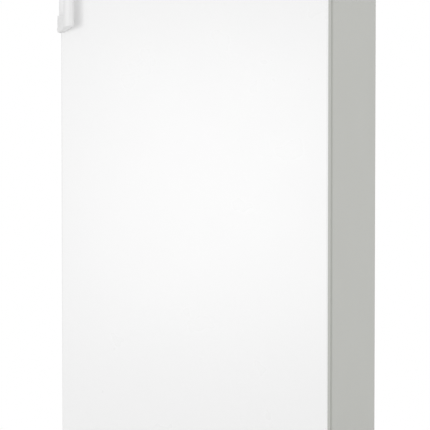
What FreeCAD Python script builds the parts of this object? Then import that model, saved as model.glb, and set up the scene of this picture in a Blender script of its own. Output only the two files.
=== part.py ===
# Upright storage freezer with one solid door, a lever handle on the left and its hinges on the right.
# Frame: millimetres, +Z up, the door faces -Y, the hinges are on +X. The origin lies on the floor, on the
# cabinet's centre plane and half way between the front of the handle and the back of the wall spacers.
import FreeCAD, Part
import math
import os
import re
import Sketcher

V = FreeCAD.Vector
X_AXIS = V(1, 0, 0)
Y_AXIS = V(0, 1, 0)
Z_AXIS = V(0, 0, 1)

doc = FreeCAD.newDocument("freezer")

# ---------------------------------------------------------------- driving dimensions
DIMENSIONS = [
    # cabinet
    ("cab_width", 600), ("total_height", 1640), ("cab_depth", 576), ("base_height", 32),
    ("sheet_thick", 1), ("liner_thick", 2), ("side_wall", 65), ("front_flange", 14), ("rear_flange", 14),
    ("edge_radius", 3), ("fold_radius", 7), ("recess_depth", 30), ("base_top", 62), ("niche_front", 120),
    ("niche_top", 300),
    # storage space
    ("cavity_floor", 160), ("cavity_top", 1530), ("cavity_rear", 225), ("step_front", 62), ("step_top", 362),
    ("liner_corner", 14), ("liner_rim", 50),
    # door
    ("door_front", 310), ("door_depth", 38), ("door_gap", 16), ("door_bottom", 112), ("door_top", 1576),
    ("skin_return", 5), ("cap_height", 14), ("plug_width", 440), ("plug_low", 182), ("plug_high", 1508),
    ("plug_rise", 26), ("plug_corner", 8), ("hinge_from_edge", 14), ("hinge_from_front", 23),
    ("pin_radius", 5), ("running_clearance", 0.05),
    # control fascia and plinth
    ("fascia_bottom", 1583), ("fascia_wall", 3), ("plinth_top", 106),
    # evaporator shelves
    ("shelf_lowest", 384), ("shelf_pitch", 285), ("shelf_tube", 8), ("shelf_bend", 63), ("shelf_half", 222),
    ("shelf_wire", 3), ("shelf_wire_pitch", 38), ("shelf_front", 210),
    # condenser
    ("cond_tube", 6), ("cond_bend", 55), ("cond_low", 345), ("cond_half", 250), ("cond_wire", 1.6),
    ("cond_wire_pitch", 32), ("cond_plane", 304),
    # lever handle
    ("bar_centre", 269.5), ("bar_width", 22), ("bar_depth", 17), ("bar_front", 355), ("handle_low", 1223),
    ("handle_length", 330), ("foot_length", 36), ("foot_proud", 8.4), ("strip_proud", 4),
    ("knuckle_radius", 7), ("lever_pin_radius", 3), ("pivot_front", 319), ("pivot_inset", 3.5),
    # feet and rollers
    ("foot_radius", 18), ("foot_stem", 5), ("foot_x", 262), ("foot_y", 205), ("roller_radius", 15),
    ("roller_width", 24), ("roller_x", 255), ("roller_y", 262), ("axle_radius", 4),
]
sheet = doc.addObject("Spreadsheet::Sheet", "dims")
for row, (alias, value) in enumerate(DIMENSIONS, start=1):
    sheet.set(f"A{row}", str(value))
    sheet.setAlias(f"A{row}", alias)
doc.recompute()
ALIASES = {alias for alias, value in DIMENSIONS}


def bound(text):
    """Expression text with each bare alias pointed at the sheet."""
    return re.sub(r"[a-z]+(?:_[a-z]+)*",
                  lambda m: "dims." + m.group() if m.group() in ALIASES else m.group(), str(text))


def mm(text):
    """Value of an expression in millimetres, for the pieces whose shape is set in code."""
    return float(sheet.evalExpression(bound(text)))


# Planes worked out from the driving dimensions.
CAB_FRONT = "(door_depth + door_gap - door_front)"
CAB_REAR = "(door_depth + door_gap - door_front + cab_depth)"
DOOR_REAR = "(door_depth - door_front)"
BACK_PANEL = "(door_depth + door_gap - door_front + cab_depth - recess_depth)"
HALF = "(cab_width/2)"
CAVITY_HALF = "(cab_width/2 - side_wall)"
HINGE_X = "(cab_width/2 - hinge_from_edge)"
HINGE_Y = "(hinge_from_front - door_front)"
EDGE_X = "(-cab_width/2)"
LEVER_X = "(pivot_inset - cab_width/2)"
LEVER_Y = "(-pivot_front)"
HANDLE_TOP = "(handle_low + handle_length)"

# ---------------------------------------------------------------- ways of making a piece
PLANES = {"XY": "XY_Plane", "XZ": "XZ_Plane", "YZ": "YZ_Plane"}
BEND_CHORDS = 3
pieces = []


def body(label):
    """A new body that becomes the piece of that name."""
    new = doc.addObject("PartDesign::Body", label)
    pieces.append(new)
    return new


def sketch(owner, plane, height, outlines):
    """Closed outlines, each a list of (across, up) or a (centre across, centre up, radius), on a plane."""
    new = owner.newObject("Sketcher::SketchObject", "outline")
    origin_plane = [f for f in owner.Origin.OriginFeatures if f.Role == PLANES[plane]][0]
    new.AttachmentSupport = [(origin_plane, "")]
    new.MapMode = "FlatFace"
    sign = "-" if plane == "XZ" else ""
    new.setExpression("AttachmentOffset.Base.z", bound(f"{sign}({height})"))
    for outline in outlines:
        if isinstance(outline, tuple):
            draw_circle(new, outline)
        else:
            draw_polygon(new, outline)
    return new


def place_point(target, geometry, point, across, up):
    """Ties a point of the sketch to two expressions."""
    fix = target.addConstraint(Sketcher.Constraint("DistanceX", -1, 1, geometry, point, mm(across)))
    target.setExpression(f"Constraints[{fix}]", bound(across))
    fix = target.addConstraint(Sketcher.Constraint("DistanceY", -1, 1, geometry, point, mm(up)))
    target.setExpression(f"Constraints[{fix}]", bound(up))


def draw_polygon(target, points):
    places = [V(mm(a), mm(b), 0) for a, b in points]
    lines = []
    for start, end in zip(places, places[1:] + places[:1]):
        lines.append(target.addGeometry(Part.LineSegment(start, end)))
    for line, after in zip(lines, lines[1:] + lines[:1]):
        target.addConstraint(Sketcher.Constraint("Coincident", line, 2, after, 1))
    for line, (across, up) in zip(lines, points):
        place_point(target, line, 1, across, up)


def draw_circle(target, circle):
    across, up, radius = circle
    ring = target.addGeometry(Part.Circle(V(mm(across), mm(up), 0), Z_AXIS, mm(radius)))
    place_point(target, ring, 3, across, up)
    fix = target.addConstraint(Sketcher.Constraint("Radius", ring, mm(radius)))
    target.setExpression(f"Constraints[{fix}]", bound(radius))


def rectangle(left, right, low, high):
    return [(left, low), (right, low), (right, high), (left, high)]


def pad(owner, plane, low, high, *outlines):
    """Material between two heights on the plane's own axis."""
    start = high if plane == "XZ" else low
    feature = owner.newObject("PartDesign::Pad", "pad")
    feature.Profile = sketch(owner, plane, start, outlines)
    feature.setExpression("Length", bound(f"({high}) - ({low})"))
    doc.recompute()
    return feature


def pocket(owner, plane, low, high, *outlines):
    """Material taken away between two heights on the plane's own axis."""
    before = owner.Shape.Volume
    start = low if plane == "XZ" else high
    feature = owner.newObject("PartDesign::Pocket", "pocket")
    feature.Profile = sketch(owner, plane, start, outlines)
    feature.setExpression("Length", bound(f"({high}) - ({low})"))
    doc.recompute()
    if not owner.Shape.Volume < before:
        raise RuntimeError(f"{owner.Label}: a pocket took nothing away")
    return feature


def repeat(owner, feature, role, step, count):
    """Copies of a feature along one of the body's own axes."""
    pattern = owner.newObject("PartDesign::LinearPattern", "pattern")
    axis = [f for f in owner.Origin.OriginFeatures if f.Role == role][0]
    pattern.Originals = [feature]
    pattern.Direction = (axis, [""])
    pattern.setExpression("Length", bound(f"({step})*({count} - 1)"))
    pattern.Occurrences = count
    owner.Tip = pattern
    doc.recompute()
    return pattern


def edges(owner, test):
    """Names of the tip's edges whose middle, direction and length meet the test."""
    names = []
    for number, edge in enumerate(owner.Tip.Shape.Edges, start=1):
        if edge.Degenerated:
            continue
        middle = edge.valueAt((edge.FirstParameter + edge.LastParameter)/2)
        along = edge.tangentAt((edge.FirstParameter + edge.LastParameter)/2)
        if test(middle, along, edge):
            names.append(f"Edge{number}")
    return names


def soften(owner, radius, test, kind="Fillet"):
    """Rounds or bevels the edges that meet the test."""
    base = owner.Tip
    names = edges(owner, test)
    if not names:
        raise RuntimeError(f"{owner.Label}: no edge to soften")
    feature = owner.newObject(f"PartDesign::{kind}", kind.lower())
    feature.Base = (base, names)
    feature.setExpression("Radius" if kind == "Fillet" else "Size", bound(radius))
    doc.recompute()
    return feature


def near(a, b):
    return abs(a - b) < 0.01


def upright(along):
    return near(abs(along.z), 1)


def lengthwise(along):
    return near(abs(along.y), 1)


def crosswise(along):
    return near(abs(along.x), 1)


def shape_piece(label, shape):
    """A piece whose shape is made with Part's own functions."""
    new = doc.addObject("Part::Feature", label)
    new.Shape = shape
    pieces.append(new)


def regular(across, up, radius, sides):
    """Corners of a regular outline whose flats face along the plane's own axes."""
    turns = [2*math.pi*(k + 0.5)/sides for k in range(sides)]
    return [(f"({across}) + ({radius})*{math.cos(t):.6f}", f"({up}) + ({radius})*{math.sin(t):.6f}")
            for t in turns]


def skin_over(rings):
    """A solid through rings of corners, with flat faces between them and one over each end."""
    faces = [Part.Face(Part.makePolygon(ring + ring[:1])) for ring in (rings[0], rings[-1])]
    for low, high in zip(rings, rings[1:]):
        for k in range(len(low)):
            after = (k + 1) % len(low)
            faces.append(Part.Face(Part.makePolygon([low[k], low[after], high[after], high[k], low[k]])))
    shell = Part.makeShell(faces)
    shell.sewShape()
    solid = Part.makeSolid(shell)
    if solid.Volume < 0:
        solid.reverse()
    return solid


def turned(profile, x, y, sides):
    """A flat-sided turning about an upright axis, from (radius, height) points."""
    rings = []
    for radius, height in profile:
        turns = [2*math.pi*(k + 0.5)/sides for k in range(sides)]
        rings.append([V(x + radius*math.cos(t), y + radius*math.sin(t), height) for t in turns])
    return skin_over(rings)


def bent_path(points, bend, steps):
    """Points of a centre line whose corners are rounded by a few chords of the bend radius."""
    path = [points[0]]
    for before, corner, after in zip(points, points[1:], points[2:]):
        arrive = (corner - before).normalize()
        leave = (after - corner).normalize()
        turn = arrive.getAngle(leave)
        start = corner - arrive*(bend*math.tan(turn/2))
        inward = (leave - arrive*math.cos(turn)).normalize()
        for k in range(steps + 1):
            swing = turn*k/steps
            path.append(start + arrive*(bend*math.sin(swing)) + inward*(bend*(1 - math.cos(swing))))
    path.append(points[-1])
    return [path[0]] + [b for a, b in zip(path, path[1:]) if b.distanceToPoint(a) > 0.01]


def tube(path, radius, across, sides=6):
    """A flat-sided tube along the path, mitred at each point, with flats square to one direction."""
    along = (path[1] - path[0]).normalize()
    level = across.cross(along).normalize()
    turns = [2*math.pi*k/sides + (math.pi/4 if sides == 4 else 0) for k in range(sides)]
    rings = [[path[0] + level*(radius*math.cos(t)) + across*(radius*math.sin(t)) for t in turns]]
    for number in range(1, len(path)):
        along = (path[number] - path[number - 1]).normalize()
        mitre = V(along)
        if number < len(path) - 1:
            mitre = (along + (path[number + 1] - path[number]).normalize()).normalize()
        ring = []
        for corner in rings[-1]:
            ring.append(corner + along*((path[number] - corner).dot(mitre)/along.dot(mitre)))
        rings.append(ring)
    return skin_over(rings)


def serpentine(passes, half, pitch, place):
    """Centre line of a tube that runs to and fro with half-turn bends; place maps (u, v) to space."""
    corners = []
    for k in range(passes):
        out = 1 if k % 2 == 0 else -1
        start = -out*(half if k > 0 else half - pitch/2)
        finish = out*(half if k < passes - 1 else half - pitch/2)
        corners += [place(start, k*pitch), place(finish, k*pitch)]
    return bent_path(corners, pitch/2, BEND_CHORDS)


def bar(low, high):
    """A box between two corners."""
    size = high - low
    return Part.makeBox(size.x, size.y, size.z, low)


# ---------------------------------------------------------------- cabinet casing
def side_panel(label, side):
    """Bent steel side sheet with a folded front edge and a narrow return at the back."""
    panel = body(label)
    face = f"{side}*{HALF}"
    inside = f"{side}*({HALF} - sheet_thick)"
    pad(panel, "XY", "base_height", "total_height - sheet_thick", [
        (f"{side}*({HALF} - front_flange)", CAB_FRONT),
        (face, CAB_FRONT),
        (face, CAB_REAR),
        (f"{side}*({HALF} - rear_flange)", CAB_REAR),
        (f"{side}*({HALF} - rear_flange)", f"{CAB_REAR} - sheet_thick"),
        (inside, f"{CAB_REAR} - sheet_thick"),
        (inside, f"{CAB_FRONT} + sheet_thick"),
        (f"{side}*({HALF} - front_flange)", f"{CAB_FRONT} + sheet_thick"),
    ])
    soften(panel, "fold_radius", lambda p, d, e: upright(d) and near(p.x, mm(face)) and p.y < 0)
    soften(panel, "edge_radius", lambda p, d, e: upright(d) and near(p.x, mm(face)) and p.y > 0)
    soften(panel, "fold_radius - sheet_thick",
           lambda p, d, e: upright(d) and near(p.x, mm(inside)) and p.y < 0, "Chamfer")


side_panel("side_panel_left", -1)
side_panel("side_panel_right", 1)

top_panel = body("top_panel")
pad(top_panel, "XY", "total_height - sheet_thick", "total_height",
    rectangle(f"-{HALF}", HALF, CAB_FRONT, CAB_REAR))
for fold in (CAB_FRONT, f"{CAB_REAR} - sheet_thick"):
    pad(top_panel, "XY", "total_height - rear_flange", "total_height - sheet_thick", rectangle(
        f"-{HALF} + front_flange + 1", f"{HALF} - front_flange - 1", fold, f"{fold} + sheet_thick"))

# The back sheet is rolled with two shallow upright beads that stop it from drumming.
BEAD_CENTRE = 120
BEAD_HALF_FOOT = 20
BEAD_HALF_TOP = 12
BEAD_RISE = 5
back_panel = body("back_panel")
bead_line = [(f"-{HALF} + sheet_thick", 0)]
for centre in (-BEAD_CENTRE, BEAD_CENTRE):
    bead_line += [(centre - BEAD_HALF_FOOT, 0), (centre - BEAD_HALF_TOP, BEAD_RISE),
                  (centre + BEAD_HALF_TOP, BEAD_RISE), (centre + BEAD_HALF_FOOT, 0)]
bead_line += [(f"{HALF} - sheet_thick", 0)]
outer_line = [(x, f"{BACK_PANEL} + sheet_thick + {rise}") for x, rise in bead_line]
inner_line = [(x, f"{BACK_PANEL} + {rise}") for x, rise in reversed(bead_line)]
pad(back_panel, "XY", "niche_top", "total_height - sheet_thick", outer_line + inner_line)

# Bent sheet that closes the insulation above and in front of the compressor.
niche_wall = body("niche_wall")
pad(niche_wall, "YZ", f"-{HALF} + sheet_thick", f"{HALF} - sheet_thick", [
    ("niche_front", "base_top"),
    ("niche_front + sheet_thick", "base_top"),
    ("niche_front + sheet_thick", "niche_top - sheet_thick"),
    (BACK_PANEL, "niche_top - sheet_thick"),
    (BACK_PANEL, "niche_top"),
    ("niche_front", "niche_top"),
])
soften(niche_wall, 6, lambda p, d, e: crosswise(d) and near(p.y, mm("niche_front + sheet_thick")) and
       near(p.z, mm("niche_top - sheet_thick")))

CAVITY = [
    (f"{CAB_FRONT} - 20", "cavity_floor"),
    ("step_front", "cavity_floor"),
    ("step_front", "step_top"),
    ("cavity_rear", "step_top"),
    ("cavity_rear", "cavity_top"),
    (f"{CAB_FRONT} - 20", "cavity_top"),
]
AROUND_CAVITY = [
    (CAB_FRONT, "cavity_floor - liner_thick"),
    ("step_front + liner_thick", "cavity_floor - liner_thick"),
    ("step_front + liner_thick", "step_top - liner_thick"),
    ("cavity_rear + liner_thick", "step_top - liner_thick"),
    ("cavity_rear + liner_thick", "cavity_top + liner_thick"),
    (CAB_FRONT, "cavity_top + liner_thick"),
]
RIM_LOW = "(cavity_floor - liner_rim + 8)"
RIM_HIGH = "(cavity_top + liner_rim - 10)"

cabinet_foam = body("cabinet_foam")
pad(cabinet_foam, "YZ", f"-{HALF} + sheet_thick", f"{HALF} - sheet_thick", [
    (f"{CAB_FRONT} + fold_radius", "base_top"),
    ("niche_front", "base_top"),
    ("niche_front", "niche_top"),
    (BACK_PANEL, "niche_top"),
    (BACK_PANEL, "total_height - sheet_thick"),
    (f"{CAB_FRONT} + fold_radius", "total_height - sheet_thick"),
])
pocket(cabinet_foam, "YZ", f"-{CAVITY_HALF} - liner_thick", f"{CAVITY_HALF} + liner_thick", AROUND_CAVITY)

# Vacuum-formed inner liner with a step over the compressor and a flat rim for the door seal.
inner_liner = body("inner_liner")
pad(inner_liner, "YZ", f"-{CAVITY_HALF} - liner_thick", f"{CAVITY_HALF} + liner_thick", AROUND_CAVITY)
pad(inner_liner, "XZ", CAB_FRONT, f"{CAB_FRONT} + liner_thick", rectangle(
    f"-{HALF} + front_flange", f"{HALF} - front_flange", RIM_LOW, RIM_HIGH))
pocket(inner_liner, "YZ", f"-{CAVITY_HALF}", CAVITY_HALF, CAVITY)
soften(inner_liner, "liner_corner", lambda p, d, e: upright(d) and near(p.y, mm("cavity_rear")) and
       near(abs(p.x), mm(CAVITY_HALF)))
soften(inner_liner, "liner_corner", lambda p, d, e: crosswise(d) and near(p.y, mm("cavity_rear")) and
       near(p.z, mm("cavity_top")))


def front_rail(label, low, high):
    """Folded steel rail across the cabinet's front that carries a hinge bracket."""
    rail = body(label)
    pad(rail, "XZ", CAB_FRONT, f"{CAB_FRONT} + 1.5", rectangle(
        f"-{HALF} + front_flange", f"{HALF} - front_flange", low, high))
    return rail


front_rail("rail_lower", "base_height + 2", RIM_LOW)
front_rail("rail_upper", RIM_HIGH, "total_height - rear_flange - 1")

# ---------------------------------------------------------------- chassis
BASE_GAUGE = 2
BOSS_RADIUS = 13
base_frame = body("base_frame")
pad(base_frame, "XZ", f"{CAB_FRONT} + fold_radius", "niche_front", [
    (f"-{HALF} + sheet_thick", "base_height"),
    (f"-{HALF} + sheet_thick", "base_top"),
    (f"{HALF} - sheet_thick", "base_top"),
    (f"{HALF} - sheet_thick", "base_height"),
    (f"{HALF} - sheet_thick - {BASE_GAUGE}", "base_height"),
    (f"{HALF} - sheet_thick - {BASE_GAUGE}", f"base_top - {BASE_GAUGE}"),
    (f"-{HALF} + sheet_thick + {BASE_GAUGE}", f"base_top - {BASE_GAUGE}"),
    (f"-{HALF} + sheet_thick + {BASE_GAUGE}", "base_height"),
])
for side in (-1, 1):
    pad(base_frame, "XY", "base_height", f"base_top - {BASE_GAUGE}",
        regular(f"{side}*foot_x", "-foot_y", BOSS_RADIUS, 6))
    pocket(base_frame, "XY", "base_height - 1", f"base_top - {BASE_GAUGE}",
           (f"{side}*foot_x", "-foot_y", "foot_stem + running_clearance"))

PLATE_LOW = "(base_height + 2)"
PLATE_RISE = 22
PLATE_REAR = f"({CAB_REAR} - 4)"
MOUNT_X = (-25, 145)
MOUNT_Y = (165, 265)
MOUNT_HOLE = 9
MOUNT_SIDES = 12
CHEEK_GAP = 15
CHEEK_GAUGE = 2.5
compressor_plate = body("compressor_plate")
pad(compressor_plate, "XZ", "niche_front", PLATE_REAR, [
    (f"-{HALF} + sheet_thick", PLATE_LOW),
    (f"-{HALF} + sheet_thick", f"{PLATE_LOW} + {PLATE_RISE}"),
    (f"-{HALF} + sheet_thick + {BASE_GAUGE}", f"{PLATE_LOW} + {PLATE_RISE}"),
    (f"-{HALF} + sheet_thick + {BASE_GAUGE}", f"{PLATE_LOW} + {BASE_GAUGE}"),
    (f"{HALF} - sheet_thick - {BASE_GAUGE}", f"{PLATE_LOW} + {BASE_GAUGE}"),
    (f"{HALF} - sheet_thick - {BASE_GAUGE}", f"{PLATE_LOW} + {PLATE_RISE}"),
    (f"{HALF} - sheet_thick", f"{PLATE_LOW} + {PLATE_RISE}"),
    (f"{HALF} - sheet_thick", PLATE_LOW),
])
cheeks = []
for side in (-1, 1):
    for offset in (-CHEEK_GAP, CHEEK_GAP):
        middle = f"{side}*roller_x + {offset}"
        cheeks.append(rectangle(f"{middle} - {CHEEK_GAUGE/2}", f"{middle} + {CHEEK_GAUGE/2}",
                                "roller_y - 12", "roller_y + 12"))
pad(compressor_plate, "XY", "roller_radius - 8", PLATE_LOW, *cheeks)
for side in (-1, 1):
    axle_low = f"{side}*roller_x - {CHEEK_GAP}"
    axle_high = f"{side}*roller_x + {CHEEK_GAP}"
    pad(compressor_plate, "YZ", axle_low, axle_high, ("roller_y", "roller_radius", "axle_radius"))
pocket(compressor_plate, "XY", f"{PLATE_LOW} - 1", f"{PLATE_LOW} + {BASE_GAUGE} + 1",
       *[regular(x, y, MOUNT_HOLE, MOUNT_SIDES) for x in MOUNT_X for y in MOUNT_Y])

# Upright tab at the back that holds the mains inlet.
INLET_X = -205
INLET_Z = 92
pad(compressor_plate, "XZ", f"{PLATE_REAR} - {BASE_GAUGE}", PLATE_REAR, rectangle(
    INLET_X - 36, INLET_X + 36, PLATE_LOW, INLET_Z + 24))
pocket(compressor_plate, "XZ", f"{PLATE_REAR} - {BASE_GAUGE} - 1", f"{PLATE_REAR} + 1", rectangle(
    INLET_X - 14, INLET_X + 14, INLET_Z - 10.2, INLET_Z + 10.2))
FOOT_PAD = 14
FOOT_NUT = 10
ROLLER_SIDES = 24


def levelling_foot(label, side):
    """Screw foot: a stem, a jam nut and a pad with flats to turn it by."""
    foot = body(label)
    pad(foot, "XY", 0, FOOT_PAD, regular(0, 0, "foot_radius", 12))
    soften(foot, 2, lambda p, d, e: near(p.z, 0), "Chamfer")
    pad(foot, "XY", FOOT_PAD, FOOT_PAD + 7, regular(0, 0, FOOT_NUT, 6))
    pad(foot, "XY", FOOT_PAD + 7, "base_top - 6", (0, 0, "foot_stem"))
    foot.setExpression("Placement.Base.x", bound(f"{side}*foot_x"))
    foot.setExpression("Placement.Base.y", bound("-foot_y"))
    doc.recompute()


def roller(label, side):
    """Transport roller, open on its axle."""
    wheel = body(label)
    half = "roller_width/2"
    pad(wheel, "YZ", f"-{half}", half, regular(0, 0, "roller_radius", ROLLER_SIDES))
    pocket(wheel, "YZ", f"-{half} - 1", f"{half} + 1", (0, 0, "axle_radius + running_clearance"))
    wheel.setExpression("Placement.Base.x", bound(f"{side}*roller_x"))
    wheel.setExpression("Placement.Base.y", bound("roller_y"))
    wheel.setExpression("Placement.Base.z", bound("roller_radius"))
    doc.recompute()


for name, side in (("left", -1), ("right", 1)):
    levelling_foot(f"foot_{name}", side)
    roller(f"roller_{name}", side)

# Ventilation plinth below the door: a shallow moulding with a row of upright slots.
SLOT_COUNT = 22
SLOT_PITCH = 20
SLOT_WIDTH = 7
PLINTH_FRONT = f"({CAB_FRONT} - 18)"
PLINTH_WALL = 3
plinth = body("plinth_grille")
pad(plinth, "XZ", PLINTH_FRONT, CAB_FRONT, rectangle(
    f"-{HALF} + 3", f"{HALF} - 3", "base_height", "plinth_top"))
soften(plinth, 5, lambda p, d, e: crosswise(d) and near(p.y, mm(PLINTH_FRONT)) and
       near(p.z, mm("plinth_top")))
pocket(plinth, "XZ", f"{PLINTH_FRONT} + {PLINTH_WALL}", f"{CAB_FRONT} + 1", rectangle(
    f"-{HALF} + 3 + {PLINTH_WALL}", f"{HALF} - 3 - {PLINTH_WALL}",
    f"base_height - 1", f"plinth_top - {PLINTH_WALL}"))
# Notch that lets the lower hinge bracket pass down behind the plinth.
pocket(plinth, "XY", f"plinth_top - {PLINTH_WALL} - 1", "plinth_top + 1", rectangle(
    f"{HINGE_X} - 27", f"{HALF} - 14", f"{CAB_FRONT} - 5", f"{CAB_FRONT} + 1"))
first_slot = -SLOT_PITCH*(SLOT_COUNT - 1)/2
slot = pocket(plinth, "XZ", f"{PLINTH_FRONT} - 1", f"{PLINTH_FRONT} + {PLINTH_WALL} + 1", rectangle(
    first_slot - SLOT_WIDTH/2, first_slot + SLOT_WIDTH/2, "base_height + 12", "plinth_top - 16"))
repeat(plinth, slot, "X_Axis", SLOT_PITCH, SLOT_COUNT)

# ---------------------------------------------------------------- control fascia
FASCIA_TOP = "(total_height - sheet_thick)"
FASCIA_FRONT = "(-door_front)"
KNOB_X = 120
SWITCH_X = -215
BUTTON_X = (-160, -125)
DISPLAY_X = -20
DISPLAY_HALF = 42
CONTROL_Z = 1604
SHAFT_RADIUS = 3.5

fascia = body("control_fascia")
pad(fascia, "YZ", f"-{HALF}", HALF, [
    (FASCIA_FRONT, "fascia_bottom"),
    (FASCIA_FRONT, f"{FASCIA_TOP} - 12"),
    (f"{FASCIA_FRONT} + 10", FASCIA_TOP),
    (CAB_FRONT, FASCIA_TOP),
    (CAB_FRONT, "fascia_bottom"),
])
soften(fascia, 6, lambda p, d, e: crosswise(d) and p.z > mm(f"{FASCIA_TOP} - 13") and
       p.y < mm(CAB_FRONT) - 1)
pocket(fascia, "YZ", f"-{HALF} + fascia_wall", f"{HALF} - fascia_wall", [
    (f"{FASCIA_FRONT} + fascia_wall", "fascia_bottom + fascia_wall"),
    (f"{FASCIA_FRONT} + fascia_wall", f"{FASCIA_TOP} - 14"),
    (f"{FASCIA_FRONT} + 11", f"{FASCIA_TOP} - fascia_wall"),
    (f"{CAB_FRONT} + 1", f"{FASCIA_TOP} - fascia_wall"),
    (f"{CAB_FRONT} + 1", "fascia_bottom + fascia_wall"),
])
pocket(fascia, "XZ", f"{FASCIA_FRONT} - 1", f"{FASCIA_FRONT} + fascia_wall + 1",
       (KNOB_X, CONTROL_Z, f"{SHAFT_RADIUS} + running_clearance"),
       rectangle(SWITCH_X - 11, SWITCH_X + 11, CONTROL_Z - 7, CONTROL_Z + 7),
       rectangle(DISPLAY_X - DISPLAY_HALF, DISPLAY_X + DISPLAY_HALF, CONTROL_Z - 10, CONTROL_Z + 10),
       *[rectangle(x - 9, x + 9, CONTROL_Z - 5, CONTROL_Z + 5) for x in BUTTON_X])
# Room behind the lower wall for the upper hinge bracket.
pocket(fascia, "XY", "fascia_bottom - 1", "fascia_bottom + fascia_wall + 1", rectangle(
    f"{HINGE_X} - 30", f"{HALF} - fascia_wall", f"{CAB_FRONT} - 6", f"{CAB_FRONT} + 1"))

display_window = body("display_window")
pad(display_window, "XZ", f"{FASCIA_FRONT} + 0.6", f"{FASCIA_FRONT} + fascia_wall - 0.4", rectangle(
    DISPLAY_X - DISPLAY_HALF + 0.1, DISPLAY_X + DISPLAY_HALF - 0.1, CONTROL_Z - 9.9, CONTROL_Z + 9.9))

KNOB_RADIUS = 16
KNOB_DEPTH = 15
KNOB_SIDES = 16
SHAFT_LENGTH = 12
knob = body("thermostat_knob")
pad(knob, "XY", 0, SHAFT_LENGTH, (0, 0, SHAFT_RADIUS))
pad(knob, "XY", SHAFT_LENGTH, SHAFT_LENGTH + KNOB_DEPTH, regular(0, 0, KNOB_RADIUS, KNOB_SIDES))
soften(knob, 2, lambda p, d, e: near(p.z, SHAFT_LENGTH + KNOB_DEPTH), "Chamfer")
pocket(knob, "XY", SHAFT_LENGTH + KNOB_DEPTH - 1, SHAFT_LENGTH + KNOB_DEPTH + 1,
       rectangle(-1, 1, 3, KNOB_RADIUS - 4))
knob.Placement = FreeCAD.Placement(V(KNOB_X, 0, CONTROL_Z), FreeCAD.Rotation(X_AXIS, 90))
knob.setExpression("Placement.Base.y", bound(f"{FASCIA_FRONT} + 11.5"))

# Rocker switch: a shallow vee rolled about a level axis just behind the fascia's face.
rocker = body("power_rocker")
ROCKER_HALF = 10.4
pad(rocker, "YZ", f"{SWITCH_X} - {ROCKER_HALF}", f"{SWITCH_X} + {ROCKER_HALF}", [
    (f"{FASCIA_FRONT} - 1.2", f"{CONTROL_Z} - 5.6"),
    (f"{FASCIA_FRONT} - 0.6", CONTROL_Z),
    (f"{FASCIA_FRONT} + 0.6", f"{CONTROL_Z} + 5.6"),
    (f"{FASCIA_FRONT} + 7", f"{CONTROL_Z} + 4"),
    (f"{FASCIA_FRONT} + 9", f"{CONTROL_Z}"),
    (f"{FASCIA_FRONT} + 7", f"{CONTROL_Z} - 4"),
])


def push_button(label, x):
    """Small key with bevelled corners, let into the fascia."""
    key = body(label)
    pad(key, "XZ", f"{FASCIA_FRONT} - 2", f"{FASCIA_FRONT} + 6", rectangle(
        x - 8.7, x + 8.7, CONTROL_Z - 4.7, CONTROL_Z + 4.7))
    soften(key, 2, lambda p, d, e: lengthwise(d), "Chamfer")
    soften(key, 0.8, lambda p, d, e: near(p.y, mm(f"{FASCIA_FRONT} - 2")), "Chamfer")


push_button("fast_freeze_button", BUTTON_X[0])
push_button("alarm_button", BUTTON_X[1])

# ---------------------------------------------------------------- door hinges
BRACKET_GAUGE = 4
PIN_REACH = 13


def hinge_bracket(label, plate_low, riser_low, riser_high, pin_low, pin_high):
    """Steel angle bolted to a front rail, with a rounded nose and a riveted hinge pin."""
    bracket = body(label)
    pad(bracket, "XY", plate_low, f"{plate_low} + {BRACKET_GAUGE}", rectangle(
        f"{HINGE_X} - 26", f"{HALF} - 3", f"{HINGE_Y} - 12", f"{CAB_FRONT} - 0.1"))
    soften(bracket, 9, lambda p, d, e: upright(d) and near(p.y, mm(f"{HINGE_Y} - 12")))
    pad(bracket, "XZ", f"{CAB_FRONT} - 0.1 - {BRACKET_GAUGE}", f"{CAB_FRONT} - 0.1", rectangle(
        f"{HINGE_X} - 26", f"{HALF} - 15", riser_low, riser_high))
    pad(bracket, "XY", pin_low, pin_high, (HINGE_X, HINGE_Y, "pin_radius"))


PLATE_BELOW = f"(door_bottom - 1 - {BRACKET_GAUGE})"
PLATE_ABOVE = "(door_top + 1)"
hinge_bracket("hinge_bracket_lower", PLATE_BELOW, "base_height + 36", PLATE_BELOW,
              PLATE_BELOW, f"door_bottom + {PIN_REACH}")
hinge_bracket("hinge_bracket_upper", PLATE_ABOVE, f"{PLATE_ABOVE} + {BRACKET_GAUGE}", "total_height - 20",
              f"door_top - {PIN_REACH}", f"{PLATE_ABOVE} + {BRACKET_GAUGE}")

# ---------------------------------------------------------------- door
TRIM_GAUGE = 1.2
TRIM_FLANGE = 22
BUSH_RADIUS = 8.5
PANEL_LOW = "(door_bottom + cap_height)"
PANEL_HIGH = "(door_top - cap_height)"
DOOR_FRONT = "(-door_front)"

door_skin = body("door_skin")
pad(door_skin, "XY", PANEL_LOW, PANEL_HIGH, [
    (f"-{HALF}", f"{DOOR_FRONT} + skin_return"),
    (f"-{HALF}", DOOR_FRONT),
    (HALF, DOOR_FRONT),
    (HALF, f"{DOOR_FRONT} + skin_return"),
    (f"{HALF} - sheet_thick", f"{DOOR_FRONT} + skin_return"),
    (f"{HALF} - sheet_thick", f"{DOOR_FRONT} + sheet_thick"),
    (f"-{HALF} + sheet_thick", f"{DOOR_FRONT} + sheet_thick"),
    (f"-{HALF} + sheet_thick", f"{DOOR_FRONT} + skin_return"),
])
soften(door_skin, "edge_radius", lambda p, d, e: upright(d) and near(abs(p.x), mm(HALF)) and
       near(p.y, mm(DOOR_FRONT)))
soften(door_skin, "edge_radius - sheet_thick", lambda p, d, e: upright(d) and
       near(abs(p.x), mm(f"{HALF} - sheet_thick")) and
       near(p.y, mm(f"{DOOR_FRONT} + sheet_thick")), "Chamfer")


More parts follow.
